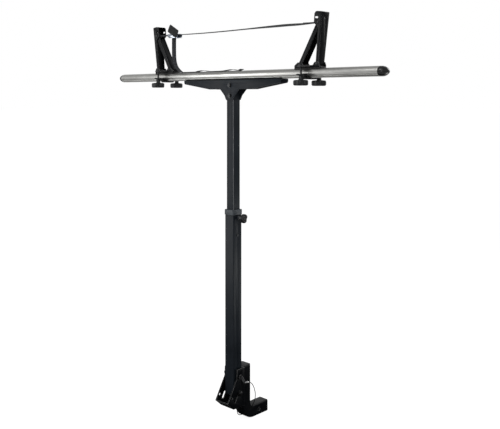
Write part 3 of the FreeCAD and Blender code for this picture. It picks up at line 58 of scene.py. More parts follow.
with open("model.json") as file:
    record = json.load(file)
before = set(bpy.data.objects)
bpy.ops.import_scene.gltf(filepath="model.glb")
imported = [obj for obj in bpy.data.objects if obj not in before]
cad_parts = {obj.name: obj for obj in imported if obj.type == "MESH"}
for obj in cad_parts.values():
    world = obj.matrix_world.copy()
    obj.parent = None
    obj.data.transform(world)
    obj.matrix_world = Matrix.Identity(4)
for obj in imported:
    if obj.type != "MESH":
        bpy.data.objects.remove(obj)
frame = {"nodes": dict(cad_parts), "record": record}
CAD_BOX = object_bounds()
RECORD = frame["record"]
NODES = frame["nodes"]
BODY_OF = {node: body for body, nodes in RECORD["behaviour"]["bodies"].items() for node in nodes}
SLOT_OF = {part["node"]: part["material_slot"] for part in RECORD["subparts"]}

MM = 0.001
RIGHT = Vector((1, 0, 0))
BACK = Vector((0, 1, 0))
UP = Vector((0, 0, 1))
LEFT_RIGHT = ((-1, "left"), (1, "right"))

# The axis of the posts, seen from the hitch pin, in millimetres as all that follows
POST_Y = -134

# Heights over the hitch pin
PIVOT_Z = 110
LOCK_Z = 180
GUIDE_Z = 779
CLAMP_Z = 853
BRACKET_BOLTS_Z = (1417, 1372)
KNOB_Z = 1431.7
TRACK_Z = 1437
BAR_Z = 1458.5
CREST = 1478
FOOT_Z = 1493.5
STRAP_Z = 1653.5

# Foot bracket, bar bracket and crossbar
EAR_X = 38
BRACKET_Y = 23.3
FIXINGS_X = (-262, -110, 110, 262)
BAR_END = 750
BAR_WIDE = 30
BAR_TALL = 19.5
BAR_FLAT = -18.3
CAP_REACH = 31

# Places of the supports along the bar, and of their pins and clamps from there
SUPPORT_X = {-1: 432, 1: 421}
FOOT_OUT = 48
HEAD_OUT = 56
BRACE_IN = 36
CLAMP_Y = 56

# Strap: the joins of its spans, its way round a head pin, and its buckle and cover
SEAM_X = 300
JOIN_X = 50
BUCKLE_X = -368.7
ROUND_PIN = [(-14, -1.6), (-6, -4.6), (-2, -5.15), (2, -4.85), (5.2, 0), (2, 4.85), (-2, 5.15),
             (-6, 4.6), (-14, 1.6)]
COVER = (-369, -20.8, STRAP_Z + 15.5)

# Pull ring and lanyard, whose diameter is in metres
PIN_EYE = (68.065, 0, 160.587)
PULL_RING = 7
LANYARD_DIAMETER = 0.0032
LANYARD = [
    (66, 36, 154), (62, 55, 138), (57, 71, 115), (53, 81, 92), (49, 85, 70), (46, 80, 49),
    (43.5, 65, 31), (41.5, 43, 20), (36.5, 24, 15.5), (32.5, 4.5, 13.5), (30.5, -7.5, 25),
    (30, -8, 42),
]

# Lamps: place, width and height in metres, and power in watts
LAMPS = (
    ("key", (-1.7, -2, 1.4), 1.2, 2.2, 26),
    ("top", (1, -1.6, 3.2), 1.4, 1.4, 20),
    ("front", (2.5, -2.9, 1.5), 0.7, 1.2, 10),
    ("side", (1.15, 1, 0.34), 1, 0.5, 5),
    ("back", (0.8, 3, 2.6), 1.6, 1.6, 30),
)


# Sizes and colours that a user would change

def in_metres(name, description, default, least):
    return FloatProperty(name=name, description=description, default=default, min=least,
                         unit="LENGTH")


def as_colour(name, description, default):
    return FloatVectorProperty(name=name, description=description, default=default, min=0, max=1,
                               subtype="COLOR")


class CarrierSizes(PropertyGroup):
    edge: in_metres("Edge softness", "Radius along the edges of plates and tubes", 0.0007, 0)
    strap_width: in_metres("Strap width", "Width of the webbing", 0.025, 0.005)
    strap_thickness: in_metres("Strap thickness", "Thickness of the webbing", 0.0018, 0.0005)
    stitch_pitch: in_metres("Stitch pitch", "Distance from stitch to stitch", 0.003, 0.001)
    weld_pitch: in_metres("Weld pitch", "Distance between the ripples of a weld", 0.0016, 0.0005)
    knob_radius: in_metres("Knob radius", "Outer radius of a clamp knob", 0.030, 0.01)
    cover_length: in_metres("Cover length", "Length of the padded buckle cover", 0.069, 0.01)


class CarrierColours(PropertyGroup):
    coat: as_colour("Post coat", "Powder coat of the posts", (0.010, 0.013, 0.017))
    black: as_colour("Black coat", "Powder coat of the bracket and supports",
                     (0.003, 0.0036, 0.0046))
    bar: as_colour("Crossbar", "Anodised aluminium", (0.68, 0.68, 0.655))
    web: as_colour("Webbing", "Strap webbing", (0.012, 0.013, 0.016))


def sizes():
    return bpy.context.scene.carrier_sizes


# Nodes

def node(tree, kind, feed=None, **settings):
    """A new node. feed gives each input a value or the socket that it is linked to."""
    made = tree.nodes.new(kind)
    for word, value in settings.items():
        setattr(made, word, value)
    for word, value in (feed or {}).items():
        if isinstance(value, NodeSocket):
            tree.links.new(value, made.inputs[word])
        else:
            made.inputs[word].default_value = value
    return made


def maths(tree, operation, first, second=None):
    feed = {0: first} if second is None else {0: first, 1: second}
    return node(tree, "ShaderNodeMath", feed, operation=operation).outputs[0]


def times(tree, first, second):
    return maths(tree, "MULTIPLY", first, second)


def spread(tree, value, ends, to=(0, 1)):
    """A value brought from one pair of ends to another, and held there."""
    feed = dict(zip(("Value", "From Min", "From Max", "To Min", "To Max"), (value, *ends, *to)))
    return node(tree, "ShaderNodeMapRange", feed).outputs["Result"]


def mixed(tree, share, first, second, kind="RGBA"):
    """Two colours or two numbers, mixed by a share. A mix node has a pair of inputs for each."""
    pair, result = {"FLOAT": (2, 0), "RGBA": (6, 2)}[kind]
    feed = {0: share, pair: first, pair + 1: second}
    return node(tree, "ShaderNodeMix", feed, data_type=kind).outputs[result]


def stretched(tree, given):
    """The group's coordinate times its Stretch."""
    feed = {0: given["Vector"], 1: given["Stretch"]}
    return node(tree, "ShaderNodeVectorMath", feed, operation="MULTIPLY").outputs["Vector"]


def noise(tree, **feed):
    return node(tree, "ShaderNodeTexNoise", feed).outputs["Fac"]


# Effects that several finishes share

def surface_grain(tree, given):
    """Fine bumps of paint or moulded plastic."""
    return {"Height": noise(tree, **{word: given[word] for word in ("Vector", "Scale", "Detail")})}


def tone_drift(tree, given):
    """Slow change between two colours over a surface."""
    cloud = noise(tree, Vector=given["Vector"], Scale=given["Scale"], Detail=5)
    mask = spread(tree, cloud, (0.35, 0.68))
    return {"Color": mixed(tree, mask, given["First"], given["Second"]), "Mask": mask}


def scuff_marks(tree, given):
    """Thin scratches and worn spots, as a mask."""
    cloud = noise(tree, Vector=stretched(tree, given), Scale=1, Detail=8, Roughness=0.7)
    marks = spread(tree, cloud, (0.60, 0.72))
    return {"Mask": times(tree, marks, given["Amount"])}


def woven_rib(tree, given):
    """Webbing: ribs across it that lean both ways from its middle, in metres of its own map."""
    x, y = node(tree, "ShaderNodeSeparateXYZ", {0: given["Vector"]}).outputs[:2]
    pitch = given["Pitch"]

    def wave(run, step):
        turn = maths(tree, "DIVIDE", times(tree, run, 2 * pi), step)
        return maths(tree, "ABSOLUTE", maths(tree, "SINE", turn))

    lean = times(tree, maths(tree, "ABSOLUTE", x), 0.9)
    rib = wave(maths(tree, "ADD", y, lean), pitch)
    yarn = wave(x, times(tree, pitch, 0.9))
    parts = times(tree, rib, 0.7), times(tree, yarn, 0.3)
    return {"Height": maths(tree, "ADD", *parts), "Mask": times(tree, rib, yarn)}


def drawn_lines(tree, given):
    """Fine lines that run along one direction, as on drawn or brushed metal."""
    return {"Height": noise(tree, Vector=stretched(tree, given), Scale=1, Detail=3)}


EFFECTS = {
    surface_grain: {"Scale": 900.0, "Detail": 2.0},
    tone_drift: {"Scale": 6.0, "First": (0.5, 0.5, 0.5, 1.0), "Second": (0.4, 0.4, 0.4, 1.0)},
    scuff_marks: {"Stretch": (40.0, 40.0, 400.0), "Amount": 0.3},
    woven_rib: {"Pitch": 0.0016},
    drawn_lines: {"Stretch": (3.0, 700.0, 700.0)},
}


def socket(tree, word, way, kind, value=None):
    """A named input or output of a group."""
    made = tree.interface.new_socket(name=word, in_out=way, socket_type="NodeSocket" + kind)
    if value is not None:
        made.default_value = value


def shared_effect(effect):
    """The shader group of an effect, built the first time that it is asked for."""
    tree = bpy.data.node_groups.get(effect.__name__)
    if tree:
        return tree
    tree = bpy.data.node_groups.new(effect.__name__, "ShaderNodeTree")
    socket(tree, "Vector", "INPUT", "Vector")
    for word, value in EFFECTS[effect].items():
        kind = "Float" if isinstance(value, float) else "Color" if len(value) == 4 else "Vector"
        socket(tree, word, "INPUT", kind, value)
    results = effect(tree, node(tree, "NodeGroupInput").outputs)
    for word in results:
        socket(tree, word, "OUTPUT", "Color" if word == "Color" else "Float")
    node(tree, "NodeGroupOutput", results)
    return tree


# Finishes

def full(colour, share=1, lift=0):
    """A colour with its alpha, made lighter or darker by a share and lifted."""
    return tuple(min(1, c * share + lift) for c in colour[:3]) + (1,)


class Finish:
    """A material under way: its tree, its shader and the coordinates of its piece."""

    def __init__(self, name):
        self.material = bpy.data.materials.new(name)
        self.material.use_nodes = True
        self.tree = self.material.node_tree
        self.shader = self.tree.nodes["Principled BSDF"].inputs
        spot = node(self.tree, "ShaderNodeTexCoord").outputs
        self.here = spot["Object"]
        self.map = spot["UV"]

    def fixed(self, **values):
        for word, value in values.items():
            self.shader[word.replace("_", " ")].default_value = value

    def feed(self, word, source):
        self.tree.links.new(source, self.shader[word])

    def place(self, effect, source=None, **values):
        """Put a shared effect in with its own values."""
        values["Vector"] = source or self.here
        return node(self.tree, "ShaderNodeGroup", values, node_tree=shared_effect(effect)).outputs

    def tone(self, scale, colour, share):
        """The colour, drifting to a lighter or darker one, and the mask of that drift."""
        made = self.place(tone_drift, Scale=scale, First=full(colour), Second=full(colour, share))
        return made["Color"], made["Mask"]

    def paint(self, share, first, second):
        self.feed("Base Color", mixed(self.tree, share, first, second))

    def rough(self, mask, low, high):
        self.feed("Roughness", spread(self.tree, mask, (0, 1), (low, high)))

    def bump(self, height, strength, distance):
        feed = {"Height": height, "Strength": strength, "Distance": distance}
        self.feed("Normal", node(self.tree, "ShaderNodeBump", feed).outputs["Normal"])

    def grain(self, scale, detail, strength, distance):
        grain = self.place(surface_grain, Scale=scale, Detail=detail)["Height"]
        self.bump(grain, strength, distance)


def coat(made, colour, worn_share, edge_wear_and_highlight):
    """Satin powder coat with a fine orange-peel surface, a few scuffed lines and paler edges, partly
    wear and partly a painted highlight.
    """
    made.fixed(Specular_IOR_Level=0.1)
    tone, drift = made.tone(9, colour, 1.35)
    scuff = made.place(scuff_marks, Amount=worn_share)["Mask"]
    marked = mixed(made.tree, scuff, tone, full(colour, 3, 0.02))
    # Paler edges and tube corners: partly wear, partly a painted highlight along them.
    edge = node(made.tree, "ShaderNodeAttribute", attribute_name="wear_and_highlight").outputs["Fac"]
    patchy = times(made.tree, made.place(tone_drift, Scale=55)["Mask"], 0.5)
    share = times(made.tree, edge, maths(made.tree, "ADD", patchy, 0.5))
    made.paint(share, marked, full(colour, 2, edge_wear_and_highlight))
    made.rough(drift, 0.28, 0.42)
    made.grain(1100, 1, 0.28, 0.0002)


def moulded(made, colour, roughness, grain, gloss=0.3):
    """Moulded plastic or rubber with a spark-eroded grain."""
    made.fixed(Specular_IOR_Level=gloss)
    tone, drift = made.tone(40, colour, 1.5)
    made.feed("Base Color", tone)
    made.rough(drift, roughness, roughness + 0.12)
    made.grain(grain, 3, 0.4, 0.0002)


def bare_metal(made, colour, low, high, stretch):
    """Bare or plated metal with drawn lines, faint staining and a few marks."""
    made.fixed(Metallic=1)
    tone = made.tone(14, colour, 0.82)[0]
    scuff = made.place(scuff_marks, Stretch=(25, 300, 300), Amount=0.25)["Mask"]
    made.paint(scuff, tone, full(colour, 0.55))
    lines = made.place(drawn_lines, Stretch=stretch)["Height"]
    made.rough(lines, low, high)
    made.bump(lines, 0.15, 0.0001)


def dark_metal(made, colour, low, high):
    """Black plated steel: a dark skin that still throws glints, dull in spots."""
    made.fixed(Specular_IOR_Level=0.6)
    tone, drift = made.tone(60, colour, 0.6)
    scuff = made.place(scuff_marks, Stretch=(180, 180, 180), Amount=0.4)["Mask"]
    made.paint(scuff, tone, full(colour, 4, 0.05))
    skin = maths(made.tree, "ADD", times(made.tree, drift, 0.2), 0.75)
    made.feed("Metallic", skin)
    made.rough(drift, low, high)
    made.grain(1600, 2, 0.2, 0.0001)


def woven(made, colour, pitch, lighter):
    """Woven cloth on the piece's own map, in metres."""
    made.fixed(Sheen_Weight=0.2, Sheen_Roughness=0.4, Specular_IOR_Level=0.25)
    weave = made.place(woven_rib, made.map, Pitch=pitch)
    tone = made.tone(30, colour, 1.5)[0]
    made.paint(times(made.tree, weave["Mask"], 0.55), tone, full(colour, lighter))
    made.rough(weave["Mask"], 0.85, 0.6)
    made.bump(weave["Height"], 0.7, 0.0005)


def finish(name):
    """A finish by name, made the first time that it is asked for."""
    look = bpy.context.scene.carrier_colours
    kind, *values = {
        "post_coat": (coat, look.coat, 0.18, 0.30),
        "black_powder": (coat, look.black, 0.12, 0.30),
        "anodised_bar": (bare_metal, look.bar, 0.28, 0.46, (3, 900, 900)),
        "zinc_plate": (bare_metal, (0.62, 0.63, 0.65), 0.22, 0.4, (300, 300, 300)),
        "buckle_plate": (bare_metal, (0.52, 0.56, 0.63), 0.1, 0.24, (60, 500, 500)),
        "dark_plate": (dark_metal, (0.035, 0.036, 0.038), 0.28, 0.45),
        "moulded_black": (moulded, (0.012, 0.013, 0.014), 0.38, 1500),
        "cap_black": (moulded, (0.005, 0.005, 0.0055), 0.2, 700, 0.5),
        "collar_grey": (moulded, (0.05, 0.058, 0.066), 0.42, 1500),
        "pad_rubber": (moulded, (0.010, 0.010, 0.010), 0.62, 2200),
        "sleeve_white": (moulded, (0.72, 0.72, 0.69), 0.4, 900),
        "wire_sheath": (moulded, (0.003, 0.003, 0.003), 0.5, 3000, 0.08),
        "thread": (moulded, (0.035, 0.037, 0.042), 0.6, 3000),
        "strap_web": (woven, look.web, 0.0022, 3.2),
        "cover_weave": (woven, (0.0055, 0.006, 0.0065), 0.0011, 2.4),
    }[name]
    ready = bpy.data.materials.get(name)
    if ready:
        return ready
    made = Finish(name)
    kind(made, *values)
    return made.material


# Mesh helpers

def at(x, y, z):
    """A point from millimetres: x across, y from the post axis, z over the hitch pin."""
    return Vector((x * MM, (y + POST_Y) * MM, z * MM))


def turns(count):
    """The angles of a full turn in equal steps."""
    return [2 * pi * k / count for k in range(count)]


def circle(centre, side, up, radius, count):
    """Points round a centre, from one direction towards another."""
    return [centre + (side * cos(a) + up * sin(a)) * radius * MM for a in turns(count)]


def wire_section(radius, count):
    """A circle round a wire's own line."""
    return [(radius * MM * cos(a), radius * MM * sin(a)) for a in turns(count)]


def square_to(way):
    """Two directions that stand square to one."""
    side = way.orthogonal().normalized()
    return side, way.cross(side)


def scaled(radius, profile):
    return [(radius * reach, *rest) for reach, *rest in profile]


class Form:
    """Collects the points and faces of one piece. Radii, heights and lengths are millimetres."""

    def __init__(self):
        self.points = []
        self.faces = []

    def ring(self, points):
        start = len(self.points)
        self.points += points
        return list(range(start, len(self.points)))

    def loft(self, rings, closed=False):
        """Skin a list of rings and close both ends, or join the last to the first."""
        made = [self.ring(r) for r in rings]
        for first, second in zip(made, made[1:] + made[:1] if closed else made[1:]):
            self.faces += zip(first, first[1:] + first[:1], second[1:] + second[:1], second)
        if not closed:
            self.faces += [made[0][::-1], made[-1]]
        return self

    def lathe(self, centre, way, profile, around=36):
        """Turn a profile of radius and height about a direction."""
        side, up = square_to(way)
        if abs(way.z) < 0.5:
            side = way.cross(UP).normalized()
            up = way.cross(side)
        return self.loft([circle(centre + way * height * MM, side, up, max(radius, 0.01), around)
                          for radius, height in profile])

    def rod(self, centre, way, radius, length):
        return self.lathe(centre, way, [(radius, 0), (radius, length)])

    def hexagon(self, centre, way, radius, tall):
        """A hexagon with its corners taken off at the free end."""
        self.lathe(centre, way, [
            (radius * 0.97, 0), (radius, tall * 0.06), (radius, tall * 0.72),
            (radius * 0.87, tall), (radius * 0.87 * 0.6, tall * 1.01)], around=6)

    def bolt_end(self, centre, way, radius):
        """A washer and a lock nut with the end of its bolt."""
        thick = 1.2
        self.lathe(centre, way, [(radius * 2.1, 0), (radius * 2.1, thick), (radius * 0.9, 1.3)])
        nut = centre + way * thick * MM
        self.hexagon(nut, way, radius * 1.8, radius * 1.1)
        top = nut + way * radius * MM
        for profile in ([(1.45, 0), (1.4, 0.35), (1.1, 0.5), (0.9, 0.5)],
                        [(0.95, 0), (0.95, 0.7), (0.8, 0.85)]):
            self.lathe(top, way, [(radius * reach, radius * tall) for reach, tall in profile])

    def through_bolt(self, middle, way, radius, half, washer, thick):
        """A bolt through a joint: its head on a washer, its shank, and its nut far across."""
        head = middle - way * half * MM
        self.lathe(head, -way, [(washer, 0), (washer, thick), (radius, thick + 0.1)])
        self.hexagon(head - way * thick * MM, -way, radius * 1.8, radius - 0.2)
        self.rod(head, way, radius, half * 2)
        self.bolt_end(middle + way * half * MM, way, radius)
        return self

    def sweep(self, path, section, closed=False, upright=None):
        """Run a section of (side, up) offsets in metres along a path. upright is the side's
        direction, one for all or a list with one for each point."""
        count = len(path)
        side = None
        rings = []
        for i, point in enumerate(path):
            if closed:
                way = path[(i + 1) % count] - path[i - 1]
            else:
                way = path[min(i + 1, count - 1)] - path[max(i - 1, 0)]
            way.normalize()
            if upright is not None:
                side = upright[i] if isinstance(upright, list) else upright
            elif side is None:
                side = way.orthogonal().normalized()
            side = (side - way * side.dot(way)).normalized()
            up = side.cross(way).normalized()
            rings.append([point + side * a + up * b for a, b in section])
        return self.loft(rings, closed)

    def knob(self, base, way, lobes, radius, thick, hub_radius, hub_long, bite):
        """A hand knob: hub below its base point, lobed grip above it, a dish in its end."""
        side, up = square_to(way)
        hub = [(0.93, -hub_long, 0), (1, 1 - hub_long, 0), (1, -2.5, 0), (1.25, -0.6, 0)]
        lobed = [
            (0.72, 0.3, 0.6), (0.9, 1.2, 1), (0.975, 3.2, 1), (1, 6, 1), (1, thick - 6, 1),
            (0.975, thick - 3, 1), (0.91, thick - 0.9, 1), (0.82, thick - 0.1, 0.9),
            (0.6, thick - 0.3, 0.35), (0.52, thick - 2.2, 0), (0.4, thick - 2.4, 0),
            (0.34, thick - 1, 0), (0.12, thick - 0.7, 0)]
        rings = []
        for reach, height, share in scaled(hub_radius, hub) + scaled(radius, lobed):
            ring = []
            for angle in turns(lobes * 24):
                wave = 0.5 - 0.5 * cos(lobes * angle)
                far = reach * MM * (1 - bite * share * wave ** 1.6)
                out = (side * cos(angle) + up * sin(angle)) * far
                ring.append(base + way * height * MM + out)
            rings.append(ring)
        return self.loft(rings)


def show(name, data):
    """Put a new object in the scene."""
    made = bpy.data.objects.new(name, data)
    bpy.context.scene.collection.objects.link(made)
    return made


def dress(name, mesh, finish_name, body, stands_for=None, smooth=35, slot=None):
    """Make a mesh one piece: sound normals, its finish, and the body that carries it."""
    work = bmesh.new()
    work.from_mesh(mesh)
    bmesh.ops.remove_doubles(work, verts=work.verts, dist=2e-6)
    bmesh.ops.recalc_face_normals(work, faces=work.faces)
    work.to_mesh(mesh)
    work.free()
    mesh.materials.clear()
    mesh.materials.append(finish(finish_name))
    mesh.shade_smooth()
    mesh.set_sharp_from_angle(angle=radians(smooth))
    made = show(name, mesh)
    if stands_for:
        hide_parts(stands_for)
    if body:
        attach(made, body)
    return made


def add_piece(name, form, *given, **more):
    """Make one piece from a form. What follows the form is passed on to dress."""
    mesh = bpy.data.meshes.new(name)
    mesh.from_pydata(form.points, [], form.faces)
    return dress(name, mesh, *given, **more)


def tighten(work, half, radius, tighter):
    """Draw the four long corners of a square tube out to a smaller radius."""
    middle = (half - radius) * MM
    edge = (half - tighter) * MM
    for vertex in work.verts:
        x = vertex.co.x
        y = vertex.co.y - POST_Y * MM
        way = Vector((abs(x) - middle, abs(y) - middle))
        if min(way) < -1e-6 or way.length < radius * MM * 0.9:
            continue
        way = way.normalized() * tighter * MM
        vertex.co.x = copysign(edge + way.x, x)
        vertex.co.y = copysign(edge + way.y, y) + POST_Y * MM


def softened(node_name, finish_name, width=None, angle=32.0, corner=None, seam=0.0):
    """A copy of a solid with softened edges stands in its place. The new edges, and with seam the
    long corners of a tube too, are marked for the coat's paler edges: partly wear, partly a painted
    highlight."""
    mesh = NODES[node_name].data.copy()
    work = bmesh.new()
    work.from_mesh(mesh)
    bmesh.ops.remove_doubles(work, verts=work.verts, dist=1e-5)
    if corner:
        tighten(work, *corner)
    bmesh.ops.dissolve_limit(work, angle_limit=radians(0.8), verts=work.verts,
                             edges=work.edges, use_dissolve_boundaries=False, delimit=set())
    steep = radians(angle)
    sharp = [e for e in work.edges if len(e.link_faces) == 2 and e.calc_face_angle(0) > steep]
    # Faces that the coat paints paler: partly wear, partly a painted highlight on edges and corners.
    wear_and_highlight = work.faces.layers.float.new("wear_and_highlight")
    cut = bmesh.ops.bevel(work, geom=sharp, offset=width or sizes().edge, offset_type="OFFSET",
                          segments=2, profile=0.5, affect="EDGES", clamp_overlap=True)
    for face in cut["faces"]:
        face[wear_and_highlight] = 1.0
    # The long corners of a tube get a painted highlight, with some wear, at the share given by seam.
    if seam:
        work.normal_update()
        for face in work.faces:
            if min(abs(face.normal.x), abs(face.normal.y)) > 0.3:
                face[wear_and_highlight] = seam
    work.to_mesh(mesh)
    work.free()
    mesh.name = node_name + "_soft"
    body, slot = BODY_OF[node_name], SLOT_OF[node_name]
    return dress(mesh.name, mesh, finish_name, body, node_name, angle, slot)


def finish_node(node_name, finish_name):
    """A solid keeps its shape and gets its finish."""
    mesh = NODES[node_name].data
    mesh.materials.clear()
    mesh.materials.append(finish(finish_name))
    for face in mesh.polygons:
        face.material_index = 0


# Rows of repeated marks, by geometry nodes

def row_tree():
    """Rounded grains set along the edges of a mesh: stitches of a seam or ripples of a weld."""
    tree = bpy.data.node_groups.new("grain_row", "GeometryNodeTree")
    socket(tree, "Geometry", "INPUT", "Geometry")
    for word, value in (("Pitch", 0.003), ("Length", 0.002), ("Thickness", 0.0006)):
        socket(tree, word, "INPUT", "Float", value)
    socket(tree, "Finish", "INPUT", "Material")
    socket(tree, "Geometry", "OUTPUT", "Geometry")
    given = node(tree, "NodeGroupInput").outputs
    curve = node(tree, "GeometryNodeMeshToCurve", {0: given["Geometry"]})
    spaced = node(tree, "GeometryNodeResampleCurve",
                  {"Curve": curve.outputs[0], "Length": given["Pitch"]}, mode="LENGTH")
    way = node(tree, "GeometryNodeInputTangent")
    turn = node(tree, "FunctionNodeAlignRotationToVector", {"Vector": way.outputs[0]}, axis="X")
    ball = node(tree, "GeometryNodeMeshIcoSphere", {"Radius": 0.5, "Subdivisions": 2})
    size = node(tree, "ShaderNodeCombineXYZ", {"X": given["Length"], "Y": given["Thickness"],
                                               "Z": given["Thickness"]})
    each = node(tree, "GeometryNodeInstanceOnPoints", {
        "Points": spaced.outputs[0], "Instance": ball.outputs["Mesh"],
        "Rotation": turn.outputs[0], "Scale": size.outputs[0]})
    real = node(tree, "GeometryNodeRealizeInstances", {0: each.outputs[0]})
    painted = node(tree, "GeometryNodeSetMaterial",
                   {"Geometry": real.outputs[0], "Material": given["Finish"]})
    node(tree, "NodeGroupOutput", {0: painted.outputs[0]})
    return tree


def grain_row(name, lines, pitch, length, thickness, finish_name, body, slot=None):
    """Set grains along polylines, as one plain mesh on one body."""
    points = []
    edges = []
    for line in lines:
        start = len(points)
        points += line
        edges += [(start + i, start + i + 1) for i in range(len(line) - 1)]
    mesh = bpy.data.meshes.new(name + "_line")
    mesh.from_pydata(points, edges, [])
    holder = show(name + "_line", mesh)
    tree = bpy.data.node_groups.get("grain_row") or row_tree()
    rows = holder.modifiers.new("rows", "NODES")
    rows.node_group = tree
    values = {"Pitch": pitch, "Length": length, "Thickness": thickness, "Finish": finish(finish_name)}
    for item in tree.interface.items_tree:
        if item.in_out == "INPUT" and item.name in values:
            rows[item.identifier] = values[item.name]
    bpy.context.view_layer.update()
    ready = holder.evaluated_get(bpy.context.evaluated_depsgraph_get())
    result = bpy.data.meshes.new_from_object(ready)
    holder.modifiers.remove(rows)
    bpy.data.objects.remove(holder)
    result.name = name
    return dress(name, result, finish_name, body, smooth=80, slot=slot)


def stitches(name, lines, body, length=0.0024, thickness=0.0008, slot=None):
    return grain_row(name, lines, sizes().stitch_pitch, length, thickness, "thread", body, slot)


def weld(name, lines, length, thickness, finish_name, body):
    return grain_row(name, lines, sizes().weld_pitch, length, thickness, finish_name, body)


def weld_ring(name, centre, thickness, finish_name, body):
    """A weld round a bush or boss that stands across the post."""
    ring = circle(centre, *square_to(RIGHT), 9.2, 48)
    weld(name, [ring + ring[:1]], 0.0026, thickness, finish_name, body)


# Pieces

class CARRIER_OT_stage(Operator):
    """Floor, light and camera"""
    bl_idname = "carrier.stage"
    bl_label = "Stage"

    def execute(self, context):
        scene = context.scene
        scene.view_settings.view_transform = "Standard"
        reach = 80
        low = CAD_BOX[0][2] - 0.0005
        sheet = bpy.data.meshes.new("floor")
        corners = [(x * reach, y * reach, low) for x, y in ((-1, -1), (1, -1), (1, 1), (-1, 1))]
        sheet.from_pydata(corners, [], [(0, 1, 2, 3)])
        sheet.materials.append(self.paper())
        show("floor", sheet)
        scene.world = self.studio()
        aim = Vector((0, POST_Y * MM, 1))
        for name, place, wide, tall, power in LAMPS:
            lamp = bpy.data.lights.new(name, "AREA")
            lamp.shape = "RECTANGLE"
            lamp.size = wide
            lamp.size_y = tall
            lamp.energy = power
            holder = show(name, lamp)
            holder.location = place
            holder.rotation_euler = (aim - Vector(place)).to_track_quat("-Z", "Y").to_euler()
            holder.visible_camera = False
        lens = bpy.data.cameras.new("camera")
        lens.lens = 54.36
        lens.sensor_width = 36
        lens.shift_y = -0.233
        lens.clip_end = 100
        camera = show("camera", lens)
        camera.location = (2.274, -2.428, 1.362)
        camera.rotation_euler = (radians(90), 0, atan2(0.688, 0.7254))
        scene.camera = camera
        return {"FINISHED"}

    def paper(self):
        """White paper to the eye, whose light on the object is held back near its foot."""
        white = (1, 1, 1, 1)
        made = Finish("pale_floor")
        made.fixed(Roughness=0.9, Specular_IOR_Level=0.1, Emission_Color=white)
        tree = made.tree
        seen = node(tree, "ShaderNodeLightPath").outputs["Is Camera Ray"]
        made.feed("Emission Strength", times(tree, seen, 0.9))
        turn = (0, 0, radians(-46.4))
        turned = node(tree, "ShaderNodeMapping", {"Vector": made.here, "Rotation": turn})
        slim = node(tree, "ShaderNodeVectorMath",
                    {0: turned.outputs["Vector"], 1: (1, 2.6, 1)}, operation="MULTIPLY")
        away = node(tree, "ShaderNodeVectorMath", {0: slim.outputs["Vector"]}, operation="LENGTH")
        fall = spread(tree, away.outputs["Value"], (1.2, 2.3), (0.03, 0.75))
        made.feed("Base Color", mixed(tree, seen, fall, 0.3, "FLOAT"))
        return made.material

    def studio(self):
        """A white surround whose light falls off towards the zenith."""
        world = bpy.data.worlds.new("studio")
        world.use_nodes = True
        tree = world.node_tree
        back = tree.nodes["Background"].inputs
        spot = node(tree, "ShaderNodeTexCoord").outputs["Generated"]
        parts = node(tree, "ShaderNodeSeparateXYZ", {0: spot})
        fall = spread(tree, parts.outputs["Z"], (0, 0.9), (0.6, 0.3))
        path = node(tree, "ShaderNodeLightPath").outputs
        soft = mixed(tree, path["Is Diffuse Ray"], fall, 0.35, "FLOAT")
        seen = mixed(tree, path["Is Camera Ray"], soft, 1, "FLOAT")
        tree.links.new(seen, back["Strength"])
        back["Color"].default_value = (1, 1, 1, 1)
        return world


class CARRIER_OT_base(Operator):
    """Shank, foot bracket and the fasteners of the foot"""
    bl_idname = "carrier.base"
    bl_label = "Hitch base"

    def execute(self, context):
        softened("hitch_shank", "black_powder")
        softened("shank_cap", "moulded_black", 0.0012)
        softened("foot_bracket", "black_powder", 0.0009)
        softened("lock_pin_bush", "black_powder", 0.0006)
        finish_node("pivot_spacers", "moulded_black")
        bolt = Form().through_bolt(at(0, 0, PIVOT_Z), RIGHT, 6, EAR_X, 12.5, 1.4)
        add_piece("pivot_bolt_set", bolt, "dark_plate", "hitch_base", "pivot_bolt")
        self.rattle()
        welds = [[at(side * 25.6, 31.9, z) for z in range(62, 207, 4)] for side in (-1, 1)]
        weld("shank_welds", welds, 0.0030, 0.0050, "black_powder", "hitch_base")
        weld_ring("bush_weld", at(EAR_X + 0.4, 0, LOCK_Z), 0.0032, "black_powder", "hitch_base")
        return {"FINISHED"}

    def rattle(self):
        """The thumb screw that steadies the post, with its lock nut and head."""
        screw = Form().lathe(at(-25.3, 0, LOCK_Z), -RIGHT, [(3.2, 0), (4, 0.8), (4, 18)])
        screw.hexagon(at(-EAR_X, 0, LOCK_Z), -RIGHT, 7.6, 5)
        screw.hexagon(at(-EAR_X - 5, 0, LOCK_Z), -RIGHT, 8, 7)
        add_piece("rattle_screw_set", screw, "dark_plate", "hitch_base", "rattle_screw")


def lanyard_ends():
    """The far side of the pull ring, and the direction of the lanyard from there."""
    low = at(*PIN_EYE) + BACK * 2 * PULL_RING * MM
    return low, (at(*LANYARD[0]) - low).normalized()


class CARRIER_OT_lock_pin(Operator):
    """Lock pin, pull ring and ferrule"""
    bl_idname = "carrier.lock_pin"
    bl_label = "Lock pin"

    def execute(self, context):
        softened("lock_pin", "dark_plate", 0.0006)
        middle = at(*PIN_EYE) + BACK * PULL_RING * MM
        line = circle(middle, Vector((0.719, 0, 0.695)), BACK, PULL_RING, 48)
        ring = Form().sweep(line, wire_section(1.5, 14), True, Vector((0.695, 0, -0.719)))
        add_piece("pull_ring", ring, "zinc_plate", "lock_pin", smooth=60)
        low, way = lanyard_ends()
        sleeve = Form().lathe(low - way * 1.5 * MM, way, [
            (1.9, 0), (2.7, 0.6), (2.8, 4), (2.45, 5), (2.45, 6), (2.8, 7), (2.8, 12.8),
            (2.3, 13.6)], around=24)
        add_piece("ferrule", sleeve, "sleeve_white", "lock_pin", "lock_pin_ring")
        return {"FINISHED"}


